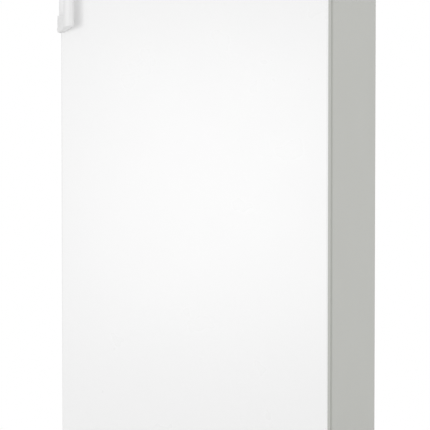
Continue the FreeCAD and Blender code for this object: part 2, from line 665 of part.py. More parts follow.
def door_trim(label, side):
    """Grey side profile of the door, hooked round the back edge."""
    trim = body(label)
    pad(trim, "XY", PANEL_LOW, PANEL_HIGH, [
        (f"{side}*{HALF}", f"{DOOR_FRONT} + skin_return"),
        (f"{side}*{HALF}", DOOR_REAR),
        (f"{side}*({HALF} - {TRIM_FLANGE})", DOOR_REAR),
        (f"{side}*({HALF} - {TRIM_FLANGE})", f"{DOOR_REAR} - {TRIM_GAUGE}"),
        (f"{side}*({HALF} - {TRIM_GAUGE})", f"{DOOR_REAR} - {TRIM_GAUGE}"),
        (f"{side}*({HALF} - {TRIM_GAUGE})", f"{DOOR_FRONT} + skin_return"),
    ])
    soften(trim, 1.5, lambda p, d, e: upright(d) and near(p.y, mm(DOOR_REAR)) and near(abs(p.x), mm(HALF)))


door_trim("door_trim_left", -1)
door_trim("door_trim_right", 1)


def door_cap(label, low, high, open_low, open_high):
    """Moulded end cap, hollowed from the foam side, with a seat for the hinge bush."""
    cap = body(label)
    pad(cap, "XY", low, high, rectangle(f"-{HALF}", HALF, DOOR_FRONT, DOOR_REAR))
    soften(cap, "edge_radius", lambda p, d, e: upright(d) and near(p.y, mm(DOOR_FRONT)))
    pocket(cap, "XY", open_low, open_high, rectangle(
        f"-{HALF} + 40", f"{HALF} - 40", f"{DOOR_FRONT} + 3", f"{DOOR_REAR} - 3"))
    pocket(cap, "XY", f"{low} - 1", f"{high} + 1", regular(HINGE_X, HINGE_Y, BUSH_RADIUS, 6))


door_cap("door_cap_lower", "door_bottom", PANEL_LOW, "door_bottom + 3", f"{PANEL_LOW} + 1")
door_cap("door_cap_upper", PANEL_HIGH, "door_top", f"{PANEL_HIGH} - 1", "door_top - 3")


def hinge_bush(label, low, high, bore_low, bore_high):
    """Plastic sleeve that turns on a hinge pin, six-sided in its seat and closed at its inner end."""
    bush = body(label)
    pad(bush, "XY", low, high, regular(HINGE_X, HINGE_Y, BUSH_RADIUS, 6))
    pocket(bush, "XY", bore_low, bore_high, (HINGE_X, HINGE_Y, "pin_radius + running_clearance"))


hinge_bush("hinge_bush_lower", "door_bottom - 0.5", PANEL_LOW,
           "door_bottom - 2", f"door_bottom + {PIN_REACH} + 0.2")
hinge_bush("hinge_bush_upper", PANEL_HIGH, "door_top + 0.5",
           f"door_top - {PIN_REACH} - 0.2", "door_top + 2")

PLUG_HALF = "(plug_width/2)"
PLUG_REAR = f"({DOOR_REAR} + plug_rise)"
PLATE_HALF = f"({HALF} - {TRIM_FLANGE} - 0.5)"
PLATE_FRONT = f"({DOOR_REAR} - liner_thick)"

door_foam = body("door_foam")
pad(door_foam, "XZ", f"{DOOR_FRONT} + sheet_thick", PLATE_FRONT, rectangle(
    f"-{HALF} + {TRIM_GAUGE}", f"{HALF} - {TRIM_GAUGE}", PANEL_LOW, PANEL_HIGH))
soften(door_foam, "edge_radius + 1", lambda p, d, e: upright(d) and
       near(p.y, mm(f"{DOOR_FRONT} + sheet_thick")))
pad(door_foam, "XZ", PLATE_FRONT, f"{PLUG_REAR} - liner_thick", rectangle(
    f"-{PLUG_HALF} + liner_thick", f"{PLUG_HALF} - liner_thick",
    "plug_low + liner_thick", "plug_high - liner_thick"))
soften(door_foam, "plug_corner - liner_thick",
       lambda p, d, e: near(p.y, mm(f"{PLUG_REAR} - liner_thick")), "Chamfer")

# Door liner: a formed sheet whose raised centre fills the mouth of the cabinet, stiffened by level ribs.
RIB_COUNT = 12
RIB_PITCH = 110
RIB_HEIGHT = 26
RIB_RISE = 4
door_liner = body("door_liner")
pad(door_liner, "XZ", PLATE_FRONT, DOOR_REAR, rectangle(f"-{PLATE_HALF}", PLATE_HALF, PANEL_LOW, PANEL_HIGH))
pad(door_liner, "XZ", DOOR_REAR, PLUG_REAR, rectangle(f"-{PLUG_HALF}", PLUG_HALF, "plug_low", "plug_high"))
pocket(door_liner, "XZ", f"{PLATE_FRONT} - 1", f"{PLUG_REAR} - liner_thick", rectangle(
    f"-{PLUG_HALF} + liner_thick", f"{PLUG_HALF} - liner_thick",
    "plug_low + liner_thick", "plug_high - liner_thick"))
soften(door_liner, "plug_corner - liner_thick",
       lambda p, d, e: near(p.y, mm(f"{PLUG_REAR} - liner_thick")), "Chamfer")
soften(door_liner, "plug_corner", lambda p, d, e: near(p.y, mm(PLUG_REAR)))
first_rib = "plug_low + 45"
rib = pad(door_liner, "YZ", f"-{PLUG_HALF} + 22", f"{PLUG_HALF} - 22", [
    (f"{PLUG_REAR} - 0.5", first_rib),
    (f"{PLUG_REAR} + {RIB_RISE}", f"{first_rib} + 6"),
    (f"{PLUG_REAR} + {RIB_RISE}", f"{first_rib} + {RIB_HEIGHT} - 6"),
    (f"{PLUG_REAR} - 0.5", f"{first_rib} + {RIB_HEIGHT}"),
])
repeat(door_liner, rib, "Z_Axis", RIB_PITCH, RIB_COUNT)

# Magnetic door seal: a waisted rubber section run round the door with mitred corners.
SEAL_WIDTH = 20
SEAL_REAR = mm(CAB_FRONT) - 0.3
SEAL_OUT_X = mm(f"{HALF} - front_flange - 1")
SEAL_LOW = mm(f"{RIM_LOW} + 4")
SEAL_HIGH = mm(f"{RIM_HIGH} - 4")
seal_front = mm(DOOR_REAR)
seal_profile = [
    (2, 0), (SEAL_WIDTH - 2, 0), (SEAL_WIDTH - 2, 2.5), (SEAL_WIDTH - 5, 4.5), (SEAL_WIDTH, 6.5),
    (SEAL_WIDTH, SEAL_REAR - seal_front), (0, SEAL_REAR - seal_front), (0, 6.5), (5, 4.5), (2, 2.5),
]
seal_points = [V(SEAL_OUT_X - u, seal_front + rise, 0) for u, rise in seal_profile]
seal_corners = [V(SEAL_OUT_X, seal_front, 0), V(SEAL_OUT_X, seal_front, SEAL_HIGH),
                V(-SEAL_OUT_X, seal_front, SEAL_HIGH), V(-SEAL_OUT_X, seal_front, SEAL_LOW),
                V(SEAL_OUT_X, seal_front, SEAL_LOW)]
middle_height = (SEAL_LOW + SEAL_HIGH)/2
seal_route = [V(SEAL_OUT_X, seal_front, middle_height)] + seal_corners[1:] + [
    V(SEAL_OUT_X, seal_front, middle_height)]
seal_section = Part.makePolygon([p + V(0, 0, middle_height) for p in seal_points + seal_points[:1]])
seal_path = Part.makePolygon(seal_route)
shape_piece("door_seal", seal_path.makePipeShell([seal_section], True, False, 1))

# ---------------------------------------------------------------- lever handle
# A bar with a forked arm at each end turns on upright pins in two feet on the door's edge. The nose of
# each lower fork drives a pusher along the door's side that bears on the cabinet and starts the door.
BAR_BACK = "(bar_depth - bar_front)"
FORK_RADIUS = 7.5
SLOT_CLEAR = 0.25
FRONT_SLOPE = 0.15
SIDE_SLOPE = 0.2
KNUCKLE_LOW = 13
KNUCKLE_HIGH = 29
ARM_LENGTH = 36
PUSHER_HEIGHT = 8
PUSHER_RISE = 2.5
PUSHER_INNER = 1.5
PUSHER_OUTER = 4.5
PUSHER_PLAY = 0.3


def at_end(end, rise):
    """Height above the lower end of the handle, or the same distance below its upper end."""
    return f"(handle_low + {rise})" if end == "lower" else f"({HANDLE_TOP} - ({rise}))"


def ordered(a, b):
    return (a, b) if mm(a) < mm(b) else (b, a)


def handle_foot(end):
    """Wedge-shaped foot on the door's edge, with one hinge knuckle and the pusher's channel."""
    foot = body(f"handle_foot_{end}")
    rear = f"{DOOR_REAR} - 2"
    pad(foot, "XZ", DOOR_FRONT, rear, [
        (EDGE_X, at_end(end, 0)),
        (f"{EDGE_X} - foot_proud + 2.5", at_end(end, 0)),
        (f"{EDGE_X} - foot_proud", at_end(end, 20)),
        (f"{EDGE_X} - foot_proud", at_end(end, 27)),
        (f"{EDGE_X} - strip_proud", at_end(end, "foot_length")),
        (EDGE_X, at_end(end, "foot_length")),
    ])
    knuckle_low, knuckle_high = ordered(at_end(end, KNUCKLE_LOW), at_end(end, KNUCKLE_HIGH))
    pad(foot, "XY", knuckle_low, knuckle_high, [
        (f"{LEVER_X} - knuckle_radius", LEVER_Y),
        (f"{LEVER_X} + knuckle_radius", LEVER_Y),
        (f"{LEVER_X} + knuckle_radius", DOOR_FRONT),
        (f"{LEVER_X} - knuckle_radius", DOOR_FRONT),
    ])
    pad(foot, "XY", knuckle_low, knuckle_high, (LEVER_X, LEVER_Y, "knuckle_radius"))
    pocket(foot, "XY", f"{knuckle_low} - 1", f"{knuckle_high} + 1", (LEVER_X, LEVER_Y, "lever_pin_radius"))
    channel_low, channel_high = ordered(at_end(end, PUSHER_RISE - PUSHER_PLAY),
                                        at_end(end, PUSHER_RISE + PUSHER_HEIGHT + PUSHER_PLAY))
    pocket(foot, "XY", channel_low, channel_high, rectangle(
        f"{EDGE_X} - {PUSHER_OUTER + PUSHER_PLAY}", f"{EDGE_X} - {PUSHER_INNER - PUSHER_PLAY}",
        f"{DOOR_FRONT} - 1", f"{rear} + 1"))
    return foot


for end in ("lower", "upper"):
    handle_foot(end)

handle_strip = body("handle_base_strip")
pad(handle_strip, "XY", at_end("lower", "foot_length"), at_end("upper", "foot_length"), [
    (EDGE_X, f"{DOOR_REAR} - 2"),
    (EDGE_X, DOOR_FRONT),
    (f"{EDGE_X} + 14", DOOR_FRONT),
    (f"{EDGE_X} + 14", f"{DOOR_FRONT} - 1"),
    (f"{EDGE_X} - strip_proud", f"{DOOR_FRONT} - 1"),
    (f"{EDGE_X} - strip_proud", f"{DOOR_REAR} - 2"),
])
soften(handle_strip, 1.5, lambda p, d, e: upright(d) and near(p.x, mm(f"{EDGE_X} - strip_proud")))


def end_plane(end, across, forward):
    """Height of the lever's sloping end, which climbs from the pin towards the bar's inner front corner."""
    return at_end(end, f"{FRONT_SLOPE}*({LEVER_Y} - ({forward})) + {SIDE_SLOPE}*({across} - {LEVER_X})")


def handle_lever_piece():
    """Bar and arms in one moulding; the ends slope up from the door to the bar."""
    lever = body("handle_lever")
    left = "(-bar_centre - bar_width/2)"
    right = "(-bar_centre + bar_width/2)"
    front = "(-bar_front)"
    pad(lever, "XY", "handle_low", HANDLE_TOP, rectangle(left, right, front, BAR_BACK))
    soften(lever, 8, lambda p, d, e: upright(d) and near(p.y, mm(front)))
    soften(lever, 5, lambda p, d, e: upright(d) and near(p.y, mm(BAR_BACK)))
    for end in ("lower", "upper"):
        arm_low, arm_high = ordered(at_end(end, 0), at_end(end, ARM_LENGTH))
        pad(lever, "XY", arm_low, arm_high, [
            (f"{LEVER_X} - {FORK_RADIUS}*0.8", f"{LEVER_Y} - {FORK_RADIUS}*0.6"),
            (f"{left} + 4", f"{front} + 6"),
            (f"{right} - 3", f"{BAR_BACK} - 3"),
            (f"{LEVER_X} + {FORK_RADIUS}*0.8", f"{LEVER_Y} + {FORK_RADIUS}*0.6"),
        ])
        pad(lever, "XY", arm_low, arm_high, (LEVER_X, LEVER_Y, FORK_RADIUS))
        slot_low, slot_high = ordered(at_end(end, f"{KNUCKLE_LOW} - {SLOT_CLEAR}"),
                                      at_end(end, f"{KNUCKLE_HIGH} + {SLOT_CLEAR}"))
        pocket(lever, "XY", slot_low, slot_high, rectangle(
            f"{LEVER_X} - 12", f"{LEVER_X} + knuckle_radius + 5", f"{LEVER_Y} - knuckle_radius - 1.5",
            DOOR_FRONT))
        pocket(lever, "XY", f"{arm_low} - 1", f"{arm_high} + 1",
               (LEVER_X, LEVER_Y, "lever_pin_radius + running_clearance"))
        nose_low, nose_high = ordered(at_end(end, PUSHER_RISE),
                                      at_end(end, f"{PUSHER_RISE} + {PUSHER_HEIGHT}"))
        pocket(lever, "XY", f"{nose_low} - {PUSHER_PLAY}", f"{nose_high} + {PUSHER_PLAY}", rectangle(
            f"{EDGE_X} - 12", f"{EDGE_X} - {PUSHER_INNER - PUSHER_PLAY}", f"{LEVER_Y} + 2", DOOR_FRONT))
        pad(lever, "XY", nose_low, nose_high, rectangle(
            f"{EDGE_X} - {PUSHER_OUTER}", f"{EDGE_X} - {PUSHER_INNER}", f"{LEVER_Y} - 3", f"{LEVER_Y} + 2"))
        sloped = pocket(lever, "YZ", f"{LEVER_X} - 20", f"{right} + 5", [
            (f"{front} - 1", at_end(end, -10)),
            (f"{front} - 1", end_plane(end, f"{right} + 5", f"{front} - 1")),
            (f"{LEVER_Y} + 10", end_plane(end, f"{right} + 5", f"{LEVER_Y} + 10")),
            (f"{LEVER_Y} + 10", at_end(end, -10)),
        ])
        sloped.UseCustomVector = True
        sloped.Direction = V(-1, 0, -SIDE_SLOPE if end == "lower" else SIDE_SLOPE)
        doc.recompute()


handle_lever_piece()


def pusher(end):
    """Flat slide with a shoe turned in between the door's edge and the cabinet."""
    low, high = ordered(at_end(end, PUSHER_RISE), at_end(end, f"{PUSHER_RISE} + {PUSHER_HEIGHT}"))
    slide = body(f"handle_pusher_{end}")
    outer = f"{EDGE_X} - {PUSHER_OUTER}"
    inner = f"{EDGE_X} - {PUSHER_INNER}"
    shoe_front = f"{DOOR_REAR} + 2.5"
    shoe_rear = f"{CAB_FRONT} - 2.6"
    pad(slide, "XY", low, high, [
        (outer, f"{LEVER_Y} + 2.3"),
        (inner, f"{LEVER_Y} + 2.3"),
        (inner, shoe_front),
        (f"{EDGE_X} + 12", shoe_front),
        (f"{EDGE_X} + 12", shoe_rear),
        (outer, shoe_rear),
    ])
    soften(slide, 2, lambda p, d, e: upright(d) and near(p.y, mm(shoe_rear)) and near(p.x, mm(outer)))


def lever_pin(end):
    """Upright pin pressed into the foot's knuckle; the fork turns on it."""
    low, high = ordered(at_end(end, 1.5), at_end(end, ARM_LENGTH - 1.5))
    pin = doc.addObject("Part::Cylinder", f"handle_pin_{end}")
    pin.setExpression("Radius", bound("lever_pin_radius"))
    pin.setExpression("Height", bound(f"{high} - {low}"))
    pin.setExpression("Placement.Base.x", bound(LEVER_X))
    pin.setExpression("Placement.Base.y", bound(LEVER_Y))
    pin.setExpression("Placement.Base.z", bound(low))
    pieces.append(pin)


for end in ("lower", "upper"):
    pusher(end)
    lever_pin(end)

# ---------------------------------------------------------------- evaporator shelves
# Each shelf is one serpentine pipe with wires welded across it, so the shelf itself is the cold surface.
SHELF_COUNT = 4
SHELF_PASSES = 4
SHELF_WIRES = 9
BAR_HALF = 2
BAR_ABOVE = 0.5
WELD_SINK = 0.4
WIRE_GAP = 0.15
HEX_FLAT = math.cos(math.pi/6)
SQUARE_FLAT = math.cos(math.pi/4)


def shelf(number):
    """Pipe with a bar along its first and last pass, and wires from bar to bar."""
    height = mm(f"shelf_lowest + {number - 1}*shelf_pitch")
    front = -mm("shelf_front")
    pitch = 2*mm("shelf_bend")
    rear = front + (SHELF_PASSES - 1)*pitch
    wire = mm("shelf_wire")
    span = mm("shelf_wire_pitch")
    reach = (SHELF_WIRES - 1)/2*span
    path = serpentine(SHELF_PASSES, mm("shelf_half"), pitch, lambda u, v: V(u, front + v, height))
    pipe = tube(path, mm("shelf_tube/2"), Z_AXIS)
    top = height + mm("shelf_tube/2")*HEX_FLAT
    wire_low = top + WIRE_GAP
    rods = []
    for y in (front, rear):
        rods.append(bar(V(-reach - 2*BAR_HALF, y - BAR_HALF, top - WELD_SINK),
                        V(reach + 2*BAR_HALF, y + BAR_HALF, wire_low + wire + BAR_ABOVE)))
    for k in range(SHELF_WIRES):
        x = k*span - reach
        rods.append(bar(V(x - wire/2, front, wire_low), V(x + wire/2, rear, wire_low + wire)))
    shape_piece(f"evaporator_shelf_{number}", pipe.multiFuse(rods))


for number in range(1, SHELF_COUNT + 1):
    shelf(number)

# Upright header pipe at the rear left that joins the open ends of the shelves.
RISER_RADIUS = 5
riser = doc.addObject("Part::Cylinder", "evaporator_riser")
riser.Radius = RISER_RADIUS
riser.setExpression("Height", bound(f"shelf_lowest + {SHELF_COUNT - 1}*shelf_pitch + 14 - step_top"))
riser.setExpression("Placement.Base.x", bound(f"-(shelf_half - shelf_bend) - {RISER_RADIUS}"))
riser.setExpression("Placement.Base.y", bound(f"-shelf_front + {SHELF_PASSES - 1}*2*shelf_bend"))
riser.setExpression("Placement.Base.z", bound("step_top"))
pieces.append(riser)

# Moulded ledges along the liner's side walls under the pipe bends of every shelf.
LEDGE_DEPTH = 20
LEDGE_HEIGHT = 12
LEDGE_PAST = 22
ledge_top = f"(shelf_lowest - shelf_tube/2*{HEX_FLAT:.4f} - 0.05)"
for side in (-1, 1):
    ledge = pad(inner_liner, "XZ", f"shelf_bend - shelf_front - {LEDGE_PAST}",
                f"5*shelf_bend - shelf_front + {LEDGE_PAST}", [
        (f"{side}*{CAVITY_HALF}", f"{ledge_top} - {LEDGE_HEIGHT} - 8"),
        (f"{side}*({CAVITY_HALF} - {LEDGE_DEPTH})", f"{ledge_top} - 4"),
        (f"{side}*({CAVITY_HALF} - {LEDGE_DEPTH})", ledge_top),
        (f"{side}*{CAVITY_HALF}", ledge_top),
    ])
    repeat(inner_liner, ledge, "Z_Axis", "shelf_pitch", SHELF_COUNT)

# ---------------------------------------------------------------- refrigeration at the back
COND_PASSES = 12
COND_WIRES = 13
cond_tube = mm("cond_tube/2")
cond_wire = mm("cond_wire")
cond_pitch = 2*mm("cond_bend")
cond_low = mm("cond_low")
cond_high = cond_low + (COND_PASSES - 1)*cond_pitch
cond_run = mm("cond_half - cond_bend")
cond_y = mm("cond_plane")
cond_step = mm("cond_wire_pitch")
cond_reach = (COND_WIRES - 1)/2*cond_step
cond_path = serpentine(COND_PASSES, mm("cond_half"), cond_pitch, lambda u, v: V(u, cond_y, cond_low + v))
cond_back = cond_y + cond_tube*SQUARE_FLAT
wire_front = cond_back + WIRE_GAP
wire_back = wire_front + cond_wire
cond_rods = []
for z in (cond_low, cond_high):
    cond_rods.append(bar(V(-cond_reach - BAR_HALF, cond_back - WELD_SINK, z - BAR_HALF),
                         V(cond_reach + BAR_HALF, wire_back + BAR_ABOVE, z + BAR_HALF)))
for k in range(COND_WIRES):
    x = k*cond_step - cond_reach
    cond_rods.append(bar(V(x - cond_wire/2, wire_front, cond_low), V(x + cond_wire/2, wire_back, cond_high)))
# Four welded feet hold the condenser off the back sheet.
COND_FOOT_HALF = 8
sheet_back = mm(f"{BACK_PANEL} + sheet_thick")
for x in (-0.85*cond_run, 0.85*cond_run):
    for z in (cond_low + cond_pitch, cond_high - cond_pitch):
        foot_low = V(x - COND_FOOT_HALF, sheet_back, z - BAR_HALF)
        cond_rods.append(bar(foot_low, V(x + COND_FOOT_HALF, cond_y - 1, z + BAR_HALF)))
shape_piece("condenser", tube(cond_path, cond_tube, Y_AXIS, 4).multiFuse(cond_rods))

# Rubber grommets in the base plate carry the compressor, a welded steel shell with a belt seam.
COMPRESSOR_X = sum(MOUNT_X)/2
COMPRESSOR_Y = sum(MOUNT_Y)/2
PLATE_TOP = mm(f"{PLATE_LOW} + {BASE_GAUGE}")
MOUNT_TOP = PLATE_TOP + 12
SHELL_RADIUS = 74
SHELL_SIDES = 20
for number, (x, y) in enumerate([(x, y) for x in MOUNT_X for y in MOUNT_Y], start=1):
    low = mm(PLATE_LOW)
    shape_piece(f"compressor_mount_{number}", turned([
        (12, low - 3), (12, low), (MOUNT_HOLE, low), (MOUNT_HOLE, PLATE_TOP),
        (14, PLATE_TOP), (14, MOUNT_TOP),
    ], x, y, MOUNT_SIDES))

SHELL_PROFILE = [
    (56, 3), (70, 14), (SHELL_RADIUS, 26), (SHELL_RADIUS, 70), (SHELL_RADIUS + 3, 71),
    (SHELL_RADIUS + 3, 75), (SHELL_RADIUS, 76), (SHELL_RADIUS, 118), (68, 138), (50, 152), (24, 160),
]
shell = turned([(radius, MOUNT_TOP + rise) for radius, rise in SHELL_PROFILE], COMPRESSOR_X, COMPRESSOR_Y,
               SHELL_SIDES)
SHELL_PLATE_PAST = 14
shell_plate = bar(V(MOUNT_X[0] - SHELL_PLATE_PAST, MOUNT_Y[0] - SHELL_PLATE_PAST, MOUNT_TOP),
                  V(MOUNT_X[1] + SHELL_PLATE_PAST, MOUNT_Y[1] + SHELL_PLATE_PAST, MOUNT_TOP + 3.5))
shape_piece("compressor", shell.fuse(shell_plate))

terminal_cover = body("terminal_cover")
COVER_LOW = MOUNT_TOP + 34
COVER_HIGH = COVER_LOW + 62
COVER_OUT = SHELL_RADIUS + 34
pad(terminal_cover, "XY", COVER_LOW, COVER_HIGH, rectangle(40, COVER_OUT, -24, 24))
soften(terminal_cover, 6, lambda p, d, e: upright(d) and near(p.x, COVER_OUT), "Chamfer")
pocket(terminal_cover, "XY", COVER_LOW - 1, COVER_HIGH + 1,
       regular(0, 0, SHELL_RADIUS + 3.2, SHELL_SIDES))
terminal_cover.Placement = FreeCAD.Placement(V(COMPRESSOR_X, COMPRESSOR_Y, 0), FreeCAD.Rotation())


def pipe(points, radius, bend, across, sides=6):
    return tube(bent_path([V(*p) for p in points], bend, BEND_CHORDS), radius, across, sides)


PIPE_BEND = 14
DISCHARGE_Z = 150
SUCTION_Z = 108
SUCTION_RADIUS = 4.5
shell_left = COMPRESSOR_X - SHELL_RADIUS*math.cos(math.pi/SHELL_SIDES)
discharge_y = COMPRESSOR_Y + 7
suction_y = COMPRESSOR_Y - 6
shape_piece("discharge_pipe", pipe([
    (shell_left, discharge_y, DISCHARGE_Z), (-90, discharge_y, DISCHARGE_Z), (-90, cond_y, DISCHARGE_Z),
    (-268, cond_y, DISCHARGE_Z), (-268, cond_y, cond_high), (-cond_run, cond_y, cond_high),
], cond_tube, PIPE_BEND, Z_AXIS))
shape_piece("suction_pipe", pipe([
    (shell_left, suction_y, SUCTION_Z), (-52, suction_y, SUCTION_Z),
    (-52, suction_y, mm("niche_top - sheet_thick")),
], SUCTION_RADIUS, PIPE_BEND, Z_AXIS))

# Filter drier with the liquid pipe brazed in its top and the capillary in its bottom.
DRIER_X = -232
DRIER_LOW = 196
DRIER_HIGH = 294
DRIER_RADIUS = 9
CAPILLARY_Y = 236
CAPILLARY_Z = 176
drier = turned([
    (3, DRIER_LOW), (DRIER_RADIUS, DRIER_LOW + 10), (DRIER_RADIUS, DRIER_HIGH - 10), (3.4, DRIER_HIGH),
], DRIER_X, cond_y, 12)
liquid_pipe = pipe([
    (-cond_run, cond_y, cond_low), (DRIER_X, cond_y, cond_low), (DRIER_X, cond_y, DRIER_HIGH - 2),
], cond_tube, PIPE_BEND, Y_AXIS)
capillary = pipe([
    (DRIER_X, cond_y, DRIER_LOW + 2), (DRIER_X, cond_y, CAPILLARY_Z), (DRIER_X, CAPILLARY_Y, CAPILLARY_Z),
    (DRIER_X, CAPILLARY_Y, mm("niche_top - sheet_thick")),
], 1.3, 8, Y_AXIS, 4)
shape_piece("filter_drier", drier.fuse([liquid_pipe, capillary]))

inlet = body("mains_inlet")
inlet_face = PLATE_REAR
pad(inlet, "XZ", inlet_face, f"{inlet_face} + 2.5", rectangle(
    INLET_X - 25, INLET_X + 25, INLET_Z - 12, INLET_Z + 12))
soften(inlet, 5, lambda p, d, e: lengthwise(d), "Chamfer")
pad(inlet, "XZ", f"{inlet_face} - 24", inlet_face, rectangle(
    INLET_X - 13.9, INLET_X + 13.9, INLET_Z - 10.1, INLET_Z + 10.1))
pocket(inlet, "XZ", f"{inlet_face} - 16", f"{inlet_face} + 3", [
    (INLET_X - 12.1, INLET_Z - 7.9), (INLET_X + 12.1, INLET_Z - 7.9), (INLET_X + 12.1, INLET_Z + 2),
    (INLET_X + 7, INLET_Z + 7.9), (INLET_X - 7, INLET_Z + 7.9), (INLET_X - 12.1, INLET_Z + 2)])
pad(inlet, "XZ", f"{inlet_face} - 16.5", f"{inlet_face} - 2",
    *[rectangle(INLET_X + x - 1, INLET_X + x + 1, INLET_Z + z - 2.5, INLET_Z + z + 2.5)
      for x, z in ((-7, -2), (7, -2), (0, 2))])

SPACER_X = 200
SPACER_Z = 1601
SPACER_REAR = "bar_front"
for name, side in (("left", -1), ("right", 1)):
    spacer = body(f"wall_spacer_{name}")
    pad(spacer, "YZ", side*SPACER_X - 20, side*SPACER_X + 20, [
        (f"{BACK_PANEL} + sheet_thick", SPACER_Z - 17),
        (SPACER_REAR, SPACER_Z - 9),
        (SPACER_REAR, SPACER_Z + 9),
        (f"{BACK_PANEL} + sheet_thick", SPACER_Z + 17),
    ])
    soften(spacer, 3, lambda p, d, e: near(p.y, mm(SPACER_REAR)), "Chamfer")

# ---------------------------------------------------------------- check and write
doc.recompute()
faults = [f"{item.Label}: {item.State}" for item in doc.Objects if {"Invalid", "Error"} & set(item.State)]
for piece in pieces:
    if piece.Shape.isNull() or not piece.Shape.isValid() or len(piece.Shape.Solids) != 1:
        faults.append(f"{piece.Label} is not one sound solid")
if faults:
    raise RuntimeError("; ".join(faults))

os.makedirs("parts", exist_ok=True)
for piece in pieces:
    piece.Shape.exportStep(f"parts/{piece.Label}.step")
print(len(pieces), "pieces written")
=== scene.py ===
import math
import bmesh
import bpy
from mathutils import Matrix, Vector


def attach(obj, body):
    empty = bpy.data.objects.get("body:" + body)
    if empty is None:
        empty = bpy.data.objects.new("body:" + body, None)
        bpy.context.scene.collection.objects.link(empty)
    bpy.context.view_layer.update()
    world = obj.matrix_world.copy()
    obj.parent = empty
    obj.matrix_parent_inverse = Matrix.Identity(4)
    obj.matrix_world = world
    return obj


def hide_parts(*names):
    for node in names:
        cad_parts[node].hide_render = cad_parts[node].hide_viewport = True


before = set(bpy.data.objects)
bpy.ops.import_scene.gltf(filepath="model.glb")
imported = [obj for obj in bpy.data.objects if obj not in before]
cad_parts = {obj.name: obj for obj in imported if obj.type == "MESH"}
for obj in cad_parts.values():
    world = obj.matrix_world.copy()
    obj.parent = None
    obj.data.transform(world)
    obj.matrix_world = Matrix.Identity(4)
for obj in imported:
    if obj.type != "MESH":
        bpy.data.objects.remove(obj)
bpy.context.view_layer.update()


# ---------------------------------------- camera
# The door's plane is turned about fourteen degrees from the view, and the view looks slightly down on the
# middle of the door, from four metres away.
VIEW_TURN = 14.26
VIEW_PAN = 0.36
VIEW_DOWN = 2.03
VIEW_REACH = 4.0
VIEW_HEIGHT = 0.954
AIM_Y = -0.010
IMAGE_WIDTH = 430
FOCAL_PIXELS = 1706.9
SENSOR_WIDTH = 36
eye = Vector((VIEW_REACH*math.sin(math.radians(VIEW_TURN)),
              AIM_Y - VIEW_REACH*math.cos(math.radians(VIEW_TURN)), VIEW_HEIGHT))
camera = bpy.data.objects.new("camera", bpy.data.cameras.new("camera"))
camera.data.sensor_width = SENSOR_WIDTH
camera.data.lens = SENSOR_WIDTH*FOCAL_PIXELS/IMAGE_WIDTH
camera.location = eye
camera.rotation_euler = (math.radians(90 - VIEW_DOWN), 0, math.radians(VIEW_TURN + VIEW_PAN))
bpy.context.collection.objects.link(camera)
bpy.context.scene.camera = camera
bpy.context.scene.view_settings.view_transform = "Standard"


# ---------------------------------------- studio
# A pale floor that fades into a white surround. One broad soft lamp stands in front at the height of the
# door's middle, where the door mirrors it as a faint glow. One on the right lights the side and door's edge.
def linear(hex_colour):
    """Linear colour of an sRGB hex value."""
    parts = [int(hex_colour[k:k + 2], 16)/255 for k in (1, 3, 5)]
    return [p/12.92 if p <= 0.04045 else ((p + 0.055)/1.055)**2.4 for p in parts] + [1.0]


def blank(name):
    """A material with nothing in it yet."""
    finish = bpy.data.materials.new(name)
    finish.use_nodes = True
    finish.node_tree.nodes.clear()
    return finish


def add_node(finish, kind, inputs=None, **settings):
    """Adds one node: settings are its own choices, inputs its values or the sockets that feed them."""
    tree = finish.node_tree
    made = tree.nodes.new("ShaderNode" + kind)
    for name, value in settings.items():
        setattr(made, name, value)
    for socket, value in (inputs or {}).items():
        if isinstance(value, bpy.types.NodeSocket):
            tree.links.new(value, made.inputs[socket])
        else:
            made.inputs[socket].default_value = value
    return made


FLOOR_HALF = 3.0
FLOOR_CLEAR = 1.1
FLOOR_GONE = 1.9
bpy.ops.mesh.primitive_plane_add(size=2*FLOOR_HALF, location=(0, 0, 0))
floor = bpy.context.object
floor.name = "studio_floor"
# Matt paper that is clear, and so as white as the surround, from FLOOR_GONE metres outwards.
paper = blank("studio_paper")
spot = add_node(paper, "TexCoord").outputs["Object"]
away = add_node(paper, "VectorMath", {0: spot}, operation="LENGTH").outputs["Value"]
fade = add_node(paper, "MapRange", {"Value": away, "From Min": FLOOR_CLEAR, "From Max": FLOOR_GONE},
                interpolation_type="SMOOTHSTEP").outputs["Result"]
matt = add_node(paper, "BsdfDiffuse", {"Color": linear("#F4F4F4")})
clear = add_node(paper, "BsdfTransparent")
mixed = add_node(paper, "MixShader", {"Fac": fade, 1: matt.outputs["BSDF"], 2: clear.outputs["BSDF"]})
add_node(paper, "OutputMaterial", {"Surface": mixed.outputs["Shader"]})
floor.data.materials.append(paper)

# The surround looks white, also in gloss and through glass, and lights the object less than it looks.
SURROUND_LIGHT = 0.68
world = bpy.data.worlds.new("surround")
bpy.context.scene.world = world
world.use_nodes = True
world.node_tree.nodes.clear()
ray = add_node(world, "LightPath")
seen = add_node(world, "Math", {0: ray.outputs["Is Camera Ray"], 1: ray.outputs["Is Glossy Ray"]},
                operation="MAXIMUM")
seen = add_node(world, "Math", {0: seen.outputs["Value"], 1: ray.outputs["Is Transmission Ray"]},
                operation="MAXIMUM")
strength = add_node(world, "MapRange", {
    "Value": seen.outputs["Value"], "To Min": SURROUND_LIGHT, "To Max": 1.0})
glow = add_node(world, "Background", {"Color": linear("#FFFFFF"), "Strength": strength.outputs["Result"]})
add_node(world, "OutputWorld", {"Surface": glow.outputs["Background"]})


def soft_lamp(name, place, aim, size, power):
    """A square soft lamp, turned towards its aim."""
    lamp = bpy.data.objects.new(name, bpy.data.lights.new(name, "AREA"))
    lamp.data.size = size
    lamp.data.energy = power
    lamp.location = place
    lamp.rotation_euler = (Vector(aim) - Vector(place)).to_track_quat("-Z", "Y").to_euler()
    bpy.context.collection.objects.link(lamp)


